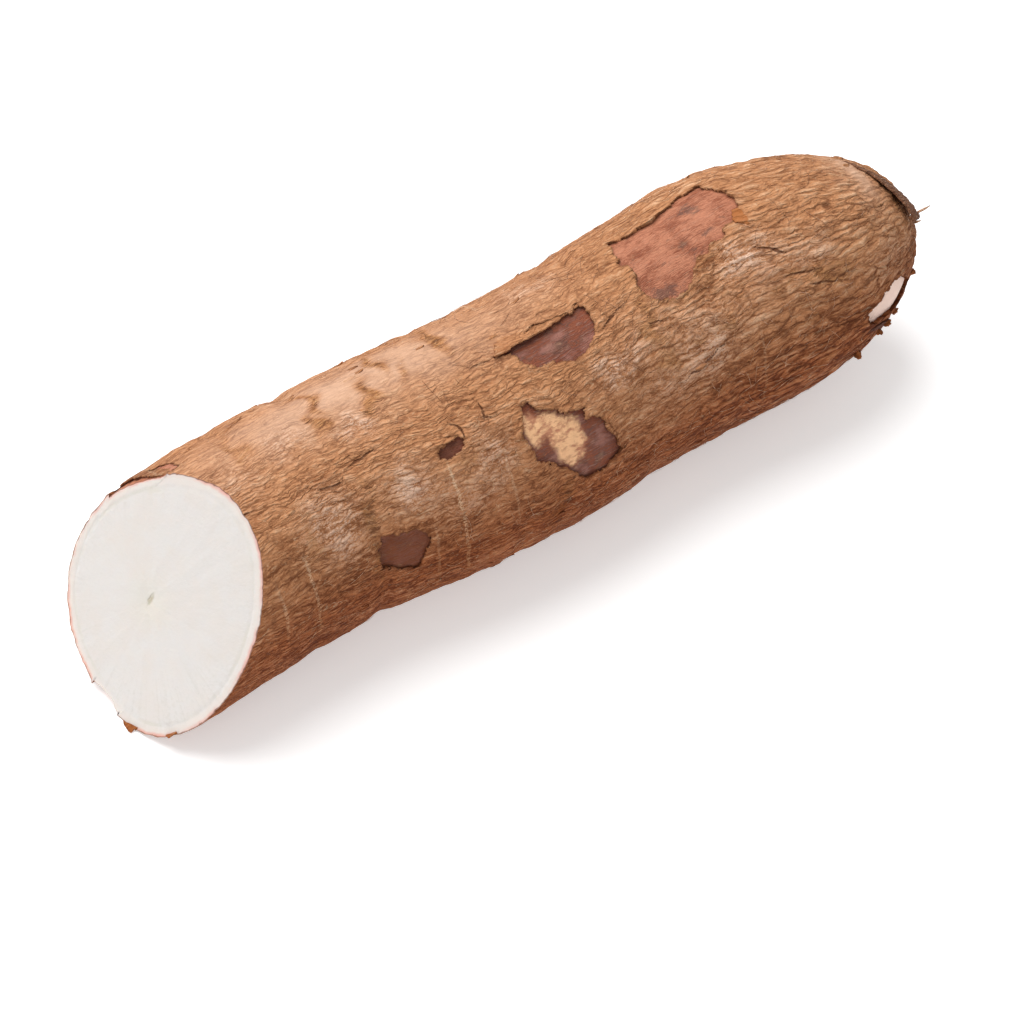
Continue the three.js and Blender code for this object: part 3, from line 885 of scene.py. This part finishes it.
class Wire:
    """A socket's value in shader arithmetic: an expression on wires adds its Math nodes."""

    def __init__(self, finish, socket):
        self.finish = finish
        self.socket = socket

    def math(self, operation, *values):
        return self.finish.node("ShaderNodeMath", {"operation": operation}, dict(enumerate(values)))

    def __add__(self, other):
        return self.math("ADD", self, other)

    def __sub__(self, other):
        return self.math("SUBTRACT", self, other)

    def __rsub__(self, other):
        return self.math("SUBTRACT", other, self)

    def __mul__(self, other):
        return self.math("MULTIPLY", self, other)

    def __pow__(self, other):
        return self.math("POWER", self, other)

    def __abs__(self):
        return self.math("ABSOLUTE", self)

    __radd__ = __add__
    __rmul__ = __mul__


class Finish:
    """A procedural material under construction: its colour is painted on, one coat over another."""

    def __init__(self, name):
        self.material = bpy.data.materials.new(name)
        self.material.use_nodes = True
        self.tree = self.material.node_tree
        self.tree.nodes.clear()

    def node(self, kind, settings=None, sockets=None, output=0):
        """Adds a node: its settings first, then the values or wires of its sockets."""
        node = self.tree.nodes.new(kind)
        for key, value in (settings or {}).items():
            setattr(node, key, value)
        for key, value in (sockets or {}).items():
            socket = node.inputs[key]
            if isinstance(value, Wire):
                self.tree.links.new(value.socket, socket)
            else:
                socket.default_value = value
        return Wire(self, node.outputs[output])

    def attribute(self, name, output="Fac"):
        return self.node("ShaderNodeAttribute", {"attribute_name": name}, output=output)

    def vector(self, operation, first, second=(0, 0, 0), output=0):
        settings = {"operation": operation}
        return self.node("ShaderNodeVectorMath", settings, {0: first, 1: second}, output)

    def times(self, places, along, across):
        """Places scaled by one factor along X and by another across it."""
        return self.vector("MULTIPLY", places, (along, across, across))

    def noise(self, places, length, width, detail=2.0, roughness=0.55, output="Fac"):
        """Noise with bumps of about this length, along X, and this width."""
        sockets = {"Vector": self.times(places, 1 / length, 1 / width), "Scale": 1.0}
        sockets.update({"Detail": detail, "Roughness": roughness})
        return self.node("ShaderNodeTexNoise", None, sockets, output)

    def strayed(self, places, reach, width):
        """Places pushed about by up to reach, in eddies of about that width."""
        colour = self.noise(places, width, width, 1.0, output="Color")
        centred = self.vector("SUBTRACT", colour, (0.5, 0.5, 0.5))
        return self.vector("ADD", places, self.times(centred, 2 * reach, 2 * reach))

    def cracks(self, places, length, width):
        """The distance to the nearest crack of a crazed pattern, whose cells have this size."""
        sockets = {"Vector": self.times(places, 1 / length, 1 / width), "Scale": 1.0}
        return self.node("ShaderNodeTexVoronoi", {"feature": "DISTANCE_TO_EDGE"}, sockets)

    def ramp(self, value, low, high, start=0.0, end=1.0):
        """Start below low, end above high, and a smooth step between them."""
        settings = {"interpolation_type": "SMOOTHSTEP"}
        sockets = {"Value": value, "From Min": low, "From Max": high, "To Min": start, "To Max": end}
        return self.node("ShaderNodeMapRange", settings, sockets)

    def mix(self, share, first, second, blend="MIX"):
        """The second colour over the first, by share. Each is a wire or the name of a setting."""
        settings = {"data_type": "RGBA", "blend_type": blend}
        ends = [chosen(colour) if isinstance(colour, str) else colour for colour in (first, second)]
        return self.node("ShaderNodeMix", settings, {0: share, 6: ends[0], 7: ends[1]}, 2)

    def paint(self, share, colour, blend="MIX"):
        self.colour = self.mix(share, self.colour, colour, blend)

    def split(self, places, axis):
        return self.node("ShaderNodeSeparateXYZ", None, {0: places}, axis)

    def surface(self, roughness, height, constants):
        """Ends the material: a height is in millimetres, and constants are set on the shader itself."""
        sockets = {"Base Color": self.colour, "Roughness": roughness, **constants}
        if height:
            bump = {"Strength": 1.0, "Distance": MM, "Height": height}
            sockets["Normal"] = self.node("ShaderNodeBump", None, bump)
        shader = self.node("ShaderNodeBsdfPrincipled", None, sockets)
        output = self.tree.nodes.new("ShaderNodeOutputMaterial")
        self.tree.links.new(shader.socket, output.inputs["Surface"])
        return self.material


# Short pale lines across the bark, where it stretched as it grew: t, the turns between which they
# run, half width and strength.
GROWTH_LINES = (
    (-102, 150, 178, 0.5, 0.55),
    (-91, 143, 190, 0.5, 0.6),
    (-42, 133, 197, 0.45, 0.7),
    (-51, 160, 200, 0.4, 0.35),
    (-25, 140, 176, 0.4, 0.35),
    (-112, 20, 70, 0.45, 0.4),
    (-60, 195, 240, 0.5, 0.5),
    (-5, 0, 60, 0.45, 0.35),
    (66, 150, 215, 0.4, 0.3),
)


def bark_finish(f):
    """Wrinkled brown bark: cracks and folds along the grain, fine fibres, dust, stains and rings."""
    grain = f.attribute("grain", "Vector")
    along = f.split(grain, 0)
    relief = f.attribute("relief")
    torn = f.attribute("torn")
    stain = f.attribute("stain")
    calm = f.attribute("calm") * (1 - stain)
    coarse = f.ramp(along, -20.0, 90.0) * f.ramp(along, 105.0, 140.0, 1.0, 0.45)

    specks = f.noise(grain, 0.55, 0.55, 2.0, 0.7)
    bent = f.strayed(f.strayed(grain, 2.0, 14), 0.7, 3.5)
    rough = f.strayed(bent, 0.35, 1.2)
    merged = f.noise(bent, 7, 3, 2.0)
    cushions = f.cracks(rough, 11, 2.3)
    pleats = f.cracks(rough, 5.5, 1.2)
    folds = f.noise(bent, 7.5, 1.4, 2.0)
    curls = f.noise(f.strayed(grain, 3.0, 9), 9, 2, 1.0)
    crinkles = f.cracks(rough, 2.2, 0.75)
    fibres = f.noise(rough, 2.2, 0.32, 3.0, 0.65)
    mottle = f.noise(grain, 26, 15, 3.0, 0.6)
    blush = f.noise(grain, 11, 6, 3.0, 0.6)

    fibre, fold, speck = fibres - 0.5, folds - 0.5, specks - 0.5
    rugged = 1 - 0.75 * calm
    deep = f.ramp(cushions, 0.0, 0.11, 1.0, 0.0) * f.ramp(merged, 0.38, 0.60) * rugged
    deep = deep * (0.35 + 0.65 * coarse)
    slight = f.ramp(pleats, 0.0, 0.16, 1.0, 0.0) * f.ramp(merged, 0.62, 0.40, 0.15, 1.0) * rugged
    slight = slight * (1 - 0.5 * coarse)
    height = 0.6 * f.ramp(cushions, 0.0, 0.45) * (0.3 + 0.7 * coarse) * rugged
    height = height + 0.2 * f.ramp(pleats, 0.0, 0.4) * rugged * (1 - 0.4 * coarse)
    height = height + fold * rugged - 0.12 * deep - 0.06 * slight
    crinkled = f.ramp(crinkles, 0.0, 0.16, 1.0, 0.0) * f.ramp(fibres, 0.40, 0.60) * rugged
    height = height + 0.08 * f.ramp(crinkles, 0.0, 0.35) * rugged
    height = height + 0.18 * fibre + 0.06 * speck

    # Painted shade: the lower half of the bark is darker in its colour, and its wrinkles get more colour
    # contrast there, as the light comes from above.
    underneath = f.ramp(f.split(grain, 2), 0.75 * MEAN_RADIUS, -0.1 * MEAN_RADIUS)
    fine = fibre * 0.9 + speck * 0.35
    lumps = (f.ramp(pleats, 0.0, 0.5) - 0.5) * 0.25 + (f.ramp(cushions, 0.0, 0.4) - 0.6) * 0.35 * coarse
    # crest mixes the bark's own tone (mottle, fibres, specks) with its height, so the colour painted from it
    # is partly that tone and partly painted shade in the hollows and painted highlight on the tops.
    crest = relief * (0.5 - 0.25 * coarse) + fold * (1.0 - 0.3 * coarse)
    crest = crest * (1 + 0.5 * underneath) + fine * (1 + 1.3 * underneath) + lumps * (1 + underneath)
    crest = crest + (mottle - 0.5) * 0.5 + 0.18 * coarse
    f.colour = f.mix(f.ramp(crest, -0.55, 0.05), "dark_bark_and_valley_shade", "bark")
    f.paint(f.ramp(crest, 0.0, 0.55), "pale_bark_and_crest_highlight")
    f.paint(f.ramp(blush, 0.52, 0.72) * 0.3, "bark_red")
    f.paint(calm * 0.6, "bark_calm")
    # Dust on the crests, and a painted pale rim of light along the lower edge.
    dust_and_rim_light_share = f.attribute("dust") * f.ramp(crest + speck * 0.9, -0.3, 0.3)
    f.paint(dust_and_rim_light_share * 0.85, "dust")
    ochre = stain + fibre * 2.8 + fold * 1.8 + speck * 1.4
    f.paint(f.ramp(ochre, 0.45, 0.9) * 0.5, "ochre")
    # Stains, and painted shade in the hollow under the flap at the tip.
    stain_and_shade_mask = stain - fold * 2.4 - fibre * 2.8 + speck * 1.0
    f.paint(f.ramp(stain_and_shade_mask, 0.75, 1.1) * 0.7, "stain")
    wander = f.noise(grain, 60, 9, 2.0)
    wandering = along + (wander - 0.5) * 4
    broken = f.ramp(specks, 0.40, 0.54)
    for line in GROWTH_LINES:
        f.paint(growth_line(f, grain, wandering, line) * broken, "growth_line")
    # Painted shade: the cracks and crinkles are darkened in the colour, as shade falls in them.
    f.paint(deep * 0.62, "crack")
    f.paint(slight * 0.48, "crack")
    f.paint(crinkled * 0.36, "crack")
    # Painted shade along the torn edges of the bark, at the step down into a patch.
    f.paint(f.ramp(torn, 0.45, 0.95) * 0.35, "torn_edge_and_shade")
    gashed = f.attribute("gash") + speck * 0.5
    gash = f.ramp(gashed, GASH_HALF, GASH_HALF - 0.35)
    # Painted shade in the open cracks.
    f.paint(gash * 0.85, "crack")
    height = height - 0.5 * gash
    # Painted shade: the lower half of the bark is multiplied darker.
    f.paint(underneath, "underneath", "MULTIPLY")
    f.paint(f.attribute("dark") * 0.9, "dark_flap")
    f.paint(f.attribute("orange") * 0.85, "orange_flake")
    f.paint(f.ramp(fibres, 0.62, 0.80) * 0.3, "fibre")
    curled = f.ramp(abs(curls - 0.5), 0.0, 0.014, 1.0, 0.0) * f.ramp(blush, 0.42, 0.58) * rugged
    f.paint(curled * 0.3, "fibre")

    roughness = f.ramp(crest, -0.4, 0.4, 0.95, 0.82)
    return f.surface(roughness, height, {"Specular IOR Level": 0.15})


def growth_line(f, grain, along, line):
    """How strong one thin line across the bark is: it lies at t, between two turns."""
    t, start, end, half, strength = line
    away = abs(along - t)
    middle = math.radians((start + end) / 2)
    toward = f.split(grain, 1) * (math.cos(middle) / MEAN_RADIUS)
    toward = toward + f.split(grain, 2) * (math.sin(middle) / MEAN_RADIUS)
    limit = math.cos(math.radians((end - start) / 2))
    within = f.ramp(toward, limit - 0.04, limit + 0.04)
    return f.ramp(away, half * 0.4, half * 1.6, 1.0, 0.0) * within * strength


def skin_finish(f):
    """The smooth skin under the bark: salmon to purple-brown, with fine lines along the root."""
    grain = f.attribute("grain", "Vector")
    tone = f.attribute("tone")
    streaks = f.noise(f.strayed(grain, 1.0, 8), 7, 0.6, 3.0, 0.65)
    clouds = f.noise(grain, 8, 5, 3.0, 0.6)
    blots_seen = f.noise(f.strayed(grain, 2, 4), 5, 3, 3.0, 0.65)
    specks = f.noise(grain, 0.5, 0.5, 2.0, 0.7)
    lines = f.noise(f.strayed(grain, 0.6, 3), 4.5, 0.32, 2.0, 0.65)

    cloud, streak, line, blot = clouds - 0.5, streaks - 0.5, lines - 0.5, blots_seen - 0.5
    depth = tone + cloud * 1.5 + streak * 0.7 + line * 1.7
    f.colour = f.mix(f.ramp(depth, -0.1, 0.55), "skin_salmon", "skin_red")
    f.paint(f.ramp(depth, 0.45, 1.05), "skin_purple")
    smoky = f.attribute("stain") * 0.3 + blot + 0.1 * tone
    f.paint(f.ramp(smoky, 0.12, 0.28) * 0.7, "skin_blot")
    streaked = f.ramp(streaks + line * 0.8, 0.58, 0.74) * (0.5 - 0.3 * tone)
    f.paint(streaked, "skin_streak")
    f.paint(f.ramp(streaks, 0.42, 0.28) * 0.45, "skin_red")
    f.paint(f.ramp(specks, 0.55, 0.40, 0.0, 0.12), "skin_blot")
    clouded = f.ramp(clouds, 0.50, 0.70) * f.ramp(tone, 0.5, 0.8, 0.0, 0.6)
    f.paint(clouded, "skin_pink")
    barky = f.ramp(tone, 1.0, 1.5, 0.0, 0.9) * f.ramp(lines, 0.3, 0.65, 0.45, 1.0)
    f.paint(barky, "inner_bark")
    veins = f.noise(f.strayed(grain, 1.2, 3), 2.6, 1.3, 3.0, 0.6)
    scar = f.ramp(f.attribute("scar") + blot * 0.5 + (veins - 0.5) * 0.5, 0.0, 0.85)
    tan = f.mix(f.ramp(veins + cloud * 0.8, 0.32, 0.62), "scar_brown", "scar")
    f.paint(scar, tan)
    scraped = f.attribute("scraped")
    f.paint(scraped * f.ramp(streaks, 0.25, 0.40, 0.85, 1.0), "scrape")
    # Painted shade: a dark line in the skin along the torn edge, where it runs under the bark.
    f.paint(f.ramp(f.attribute("torn"), 0.4, 1.0) * 0.4, "crack")

    height = 0.4 * line + 0.28 * streak + 0.3 * cloud + 0.06 * (specks - 0.5)
    height = height + 0.25 * scar * (blots_seen - 0.35)
    roughness = f.ramp(streaks, 0.3, 0.7, 0.72, 0.6)
    return f.surface(roughness, height, {"Specular IOR Level": 0.25})


def flesh_finish(f):
    """The cut face: a thin bark line, a pink rim, pale rind, a glassy ring and off-white flesh."""
    places = f.node("ShaderNodeTexCoord", output="Object")
    centred = f.times(f.vector("SUBTRACT", places, tuple(PITH_AT * MM)), 1 / MM, 1 / MM)
    u = f.vector("DOT_PRODUCT", centred, tuple(CUT_SIDE), "Value")
    v = f.vector("DOT_PRODUCT", centred, tuple(CUT_RISE), "Value")
    radius = f.vector("LENGTH", centred, output="Value")
    spoke = f.vector("NORMALIZE", centred)
    inward = f.attribute("inward")

    rays = f.noise(spoke, 1 / 26, 1 / 26, 3.0, 0.6)
    flecks = f.noise(centred, 1.1, 1.1, 3.0, 0.65)
    clouds = f.noise(centred, 12, 12, 2.0)
    ragged = f.noise(centred, 2.2, 2.2, 2.0, 0.6)
    wide = f.noise(centred, 15, 15, 1.0)
    way_in = inward + (ragged - 0.5) * 0.8

    outer = f.ramp(radius, 16.0, 34.0, 0.1, 0.7) * f.ramp(v, 8.0, -12.0, 0.4, 1.0)
    shade = f.ramp(rays + (flecks - 0.5) * 1.1, 0.45, 0.75) * outer
    f.colour = f.mix(shade, "flesh", "flesh_shade")
    f.paint(f.ramp(clouds, 0.42, 0.62) * 0.4, "flesh_warm")
    glassy = f.ramp(abs(way_in - 3.1), 0.15, 0.9, 1.0, 0.0)
    f.paint(glassy * f.ramp(wide, 0.42, 0.66, 0.03, 0.4), "cambium")
    f.paint(f.ramp(way_in, 3.2, 1.6) * 0.5, "rind")
    pink = f.ramp(way_in, 1.5, 0.4) * f.ramp(wide, 0.40, 0.62, 0.15, 0.9)
    f.paint(pink, "rim_pink")
    f.paint(f.ramp(way_in, 0.5, 0.15) * 0.85, "torn_edge_and_shade")
    thread = (u * 0.75 - v * 0.16) ** 2 + (v * 0.22) ** 2
    pith = f.ramp(thread + (ragged - 0.5) * 1.4, 0.6, 0.0, 0.0, 0.6)
    f.paint(f.ramp(radius, 13.0, 1.0) * 0.3, "pith_halo")
    f.paint(pith * f.ramp(flecks, 0.30, 0.55, 0.5, 1.0), "pith")

    height = 0.1 * (rays - 0.5) * outer + 0.14 * (flecks - 0.5) - 0.04 * glassy - 0.5 * pith
    roughness = f.ramp(flecks, 0.35, 0.65, 0.5, 0.38)
    depth = {"Subsurface Weight": 0.35, "Subsurface Radius": (1.0, 0.75, 0.6), "Subsurface Scale": 2 * MM}
    return f.surface(roughness, height, depth)


def floor_finish(f):
    """A plain pale studio floor."""
    places = f.node("ShaderNodeTexCoord", output="Object")
    cloud = f.noise(places, 1 / 3, 1 / 3, 0.0)
    f.colour = f.mix(f.ramp(cloud, 0.3, 0.7) * 0.04, "floor", FLOOR_SHADE)
    glow = {"Emission Color": (1, 1, 1, 1), "Emission Strength": FLOOR_GLOW}
    return f.surface(f.ramp(cloud, 0.3, 0.7, 0.7, 0.75), None, glow)


# ---- Settings, operators and panel -----------------------------------------------------------


# The colours of the settings as they look on a screen: 0 to 255 of red, green and blue.
COLOURS = {
    "bark": ("Main colour of the bark", (196, 138, 96)),
    # Partly the bark's own darker tone, partly painted shade between the folds.
    "dark_bark_and_valley_shade": ("Colour between the folds of the bark", (134, 82, 50)),
    # Partly the bark's own paler fibres, partly a painted highlight on the tops of the folds.
    "pale_bark_and_crest_highlight": ("Colour of the tops of the folds", (224, 178, 140)),
    "bark_red": ("Redder areas of the bark", (160, 98, 62)),
    "bark_calm": ("Bark where it is smooth and pale", (216, 182, 158)),
    # Also a painted pale rim of light along the lower edge.
    "dust": ("Dried soil and starch on the bark", (240, 208, 186)),
    # Also painted shade: the hollow under the thick flap at the tip.
    "stain": ("Dark blots and the grooves of growth rings", (106, 70, 46)),
    "ochre": ("Ochre smudges in the grooves across the bark", (172, 118, 66)),
    "growth_line": ("Thin pale lines across the bark", (240, 206, 170)),
    # Painted shade: this darkens the bottoms of the cracks, and the skin along the torn edges.
    "crack": ("Bottoms of the cracks", (86, 46, 26)),
    # Painted shade along the torn edges of the bark; on the cut face, the thin bark line in its own colour.
    "torn_edge_and_shade": ("Torn edges of the bark", (110, 66, 40)),
    "dark_flap": ("The thick flap at the tip", (84, 54, 46)),
    "orange_flake": ("Freshly broken flakes", (172, 104, 56)),
    # Painted shade: this darkens the lower half of the bark.
    "underneath": ("Tint of the lower half of the bark", (200, 164, 138)),
    "fibre": ("Fine fibres on the bark", (226, 194, 158)),
    "skin_salmon": ("Lightest skin under the bark", (192, 126, 96)),
    "skin_red": ("Red-brown skin", (136, 72, 46)),
    "skin_pink": ("Pink clouds on the purple skin", (178, 122, 106)),
    "skin_purple": ("Purple-brown skin", (116, 74, 64)),
    "inner_bark": ("Brown layer where only the outer bark is gone", (118, 58, 22)),
    "skin_blot": ("Grey-purple blots on the skin", (92, 64, 56)),
    "skin_streak": ("Fine light lines on the skin", (222, 162, 132)),
    "scar": ("Corky scar on the skin", (246, 194, 146)),
    "scar_brown": ("Darker parts of the scar", (192, 130, 98)),
    "scrape": ("Rind bared by a knock", (252, 220, 204)),
    "flesh": ("Flesh on the cut face", (218, 213, 209)),
    "flesh_shade": ("Rays in the flesh", (209, 204, 198)),
    "flesh_warm": ("Warmer areas of the flesh", (218, 209, 201)),
    "cambium": ("Ring between rind and flesh", (208, 203, 188)),
    "rind": ("Pale band outside the glassy ring", (225, 214, 205)),
    "rim_pink": ("Outer edge of the rind", (220, 164, 150)),
    "pith": ("Woody thread in the middle", (160, 146, 104)),
    "pith_halo": ("Tint round the pith", (218, 211, 192)),
    "floor": ("The studio floor", (244, 244, 244)),
}


class CassavaColours(bpy.types.PropertyGroup):
    __annotations__ = {
        key: bpy.props.FloatVectorProperty(
            name=key.replace("_", " ").capitalize(),
            description=description,
            subtype="COLOR",
            size=3,
            min=0,
            max=1,
            default=linear(*screen),
        )
        for key, (description, screen) in COLOURS.items()
    }


class CassavaSizes(bpy.types.PropertyGroup):
    scales: bpy.props.IntProperty(
        name="Scales", description="How many small scales of bark stand off the root", default=170, min=0
    )
    fibres: bpy.props.IntProperty(
        name="Fibres", description="How many fine fibres lie on the bark", default=800, min=0
    )
    camera_distance: bpy.props.FloatProperty(
        name="Camera distance", description="From the camera to the root", default=0.96, unit="LENGTH"
    )
    camera_azimuth: bpy.props.FloatProperty(
        name="Camera azimuth",
        description="Way the camera looks, turned from +Y",
        default=math.radians(-33.5),
        subtype="ANGLE",
    )
    camera_elevation: bpy.props.FloatProperty(
        name="Camera elevation",
        description="How steeply the camera looks down",
        default=math.radians(51),
        subtype="ANGLE",
    )
    lens: bpy.props.FloatProperty(
        name="Lens", description="Focal length of the camera in millimetres", default=110, min=1
    )


def chosen(key):
    """A colour setting as a shader takes it."""
    return (*getattr(bpy.context.scene.cassava_colours, key), 1)


FINISHES = {
    "root_bark": bark_finish,
    "root_skin": skin_finish,
    "root_flesh": flesh_finish,
    "studio_floor": floor_finish,
}


def finished(*names):
    """The materials of those names, each made once."""
    return [bpy.data.materials.get(name) or FINISHES[name](Finish(name)) for name in names]


class CASSAVA_OT_root(bpy.types.Operator):
    """Add the root: its bark with peeled patches, the skin in them and the cut face"""

    bl_idname = "cassava.root"
    bl_label = "Root"

    def execute(self, context):
        build_root(finished("root_bark", "root_skin", "root_flesh"))
        return {"FINISHED"}


class CASSAVA_OT_flakes(bpy.types.Operator):
    """Add the loose flakes of bark, which curl up at the patches, the cut and the tip"""

    bl_idname = "cassava.flakes"
    bl_label = "Loose bark"

    def execute(self, context):
        build_flakes(finished("root_bark"))
        return {"FINISHED"}


class CASSAVA_OT_scales(bpy.types.Operator):
    """Add the small scales and fine fibres that roughen the bark"""

    bl_idname = "cassava.scales"
    bl_label = "Scales and fibres"

    def execute(self, context):
        sizes = context.scene.cassava_sizes
        build_scales(finished("root_bark"), sizes.scales)
        build_fibres(finished("root_bark"), sizes.fibres)
        return {"FINISHED"}


class CASSAVA_OT_crumbs(bpy.types.Operator):
    """Add the crumbs of bark and rind round the scrape near the tip"""

    bl_idname = "cassava.crumbs"
    bl_label = "Crumbs"

    def execute(self, context):
        build_crumbs(finished("root_bark"))
        return {"FINISHED"}


# The studio. A light is its place, the place it faces, its size and its power, in metres and watts.
CAMERA_TARGET = Vector((-5.64, -8.96, 0)) * MM
LIGHTS = {
    "key_light": ((-0.10, 0.50, 1.00), (0, 0, 0.03), 1.2, 15.5),
    "front_light": ((-0.75, -0.55, 0.60), (-0.05, 0, 0.03), 0.7, 1.2),
}
WORLD_STRENGTH = 0.44
CLIP_START = 0.01
FLOOR_SIZE = 3.0
FLOOR_GAP = 0.02 * MM
FLOOR_GLOW = 0.4
FLOOR_SHADE = (0.8, 0.8, 0.8, 1)


class CASSAVA_OT_stage(bpy.types.Operator):
    """Add the studio: a pale floor, soft lights and the camera"""

    bl_idname = "cassava.stage"
    bl_label = "Studio"

    def execute(self, context):
        scene = context.scene
        sizes = scene.cassava_sizes
        bm = bmesh.new()
        bmesh.ops.create_grid(bm, x_segments=2, y_segments=2, size=FLOOR_SIZE / 2)
        bmesh.ops.translate(bm, verts=bm.verts, vec=(0, 0, -FLOOR_GAP))
        floor = put_mesh(bm, "studio_floor", finished("studio_floor"))

        for name, (place, faces, size, power) in LIGHTS.items():
            lamp = bpy.data.lights.new(name, "AREA")
            lamp.shape = "DISK"
            lamp.size = size
            lamp.energy = power
            light = put(name, lamp)
            light.location = place
            light.rotation_euler = (Vector(place) - Vector(faces)).to_track_quat("Z", "Y").to_euler()

        world = bpy.data.worlds.new("studio")
        world.use_nodes = True
        background = world.node_tree.nodes["Background"]
        background.inputs["Color"].default_value = (1, 1, 1, 1)
        background.inputs["Strength"].default_value = WORLD_STRENGTH
        scene.world = world
        scene.view_settings.view_transform = "Standard"

        lens = bpy.data.cameras.new("camera")
        lens.lens = sizes.lens
        lens.clip_start = CLIP_START
        camera = put("camera", lens)
        azimuth, elevation = sizes.camera_azimuth, sizes.camera_elevation
        back = Vector((math.sin(azimuth), -math.cos(azimuth), math.tan(elevation))).normalized()
        camera.location = CAMERA_TARGET + back * sizes.camera_distance
        camera.rotation_euler = back.to_track_quat("Z", "Y").to_euler()
        scene.camera = camera
        return {"FINISHED"}


OPERATORS = (CASSAVA_OT_root, CASSAVA_OT_flakes, CASSAVA_OT_scales, CASSAVA_OT_crumbs, CASSAVA_OT_stage)


class CASSAVA_PT_panel(bpy.types.Panel):
    """The settings and steps of the cassava root"""

    bl_label = "Cassava Root"
    bl_space_type = "VIEW_3D"
    bl_region_type = "UI"
    bl_category = "Cassava"

    def draw(self, context):
        for operator in OPERATORS:
            self.layout.operator(operator.bl_idname)
        for group, owner in ((CassavaSizes, "cassava_sizes"), (CassavaColours, "cassava_colours")):
            column = self.layout.column()
            for key in group.__annotations__:
                column.prop(getattr(context.scene, owner), key)


CLASSES = (CassavaColours, CassavaSizes, *OPERATORS, CASSAVA_PT_panel)


def register():
    for item in CLASSES:
        bpy.utils.register_class(item)
    bpy.types.Scene.cassava_sizes = bpy.props.PointerProperty(type=CassavaSizes)
    bpy.types.Scene.cassava_colours = bpy.props.PointerProperty(type=CassavaColours)


def unregister():
    del bpy.types.Scene.cassava_colours
    del bpy.types.Scene.cassava_sizes
    for item in reversed(CLASSES):
        bpy.utils.unregister_class(item)


def main():
    register()
    bpy.ops.cassava.root()
    bpy.ops.cassava.flakes()
    bpy.ops.cassava.scales()
    bpy.ops.cassava.crumbs()
    bpy.ops.cassava.stage()


if __name__ == "__main__":
    main()
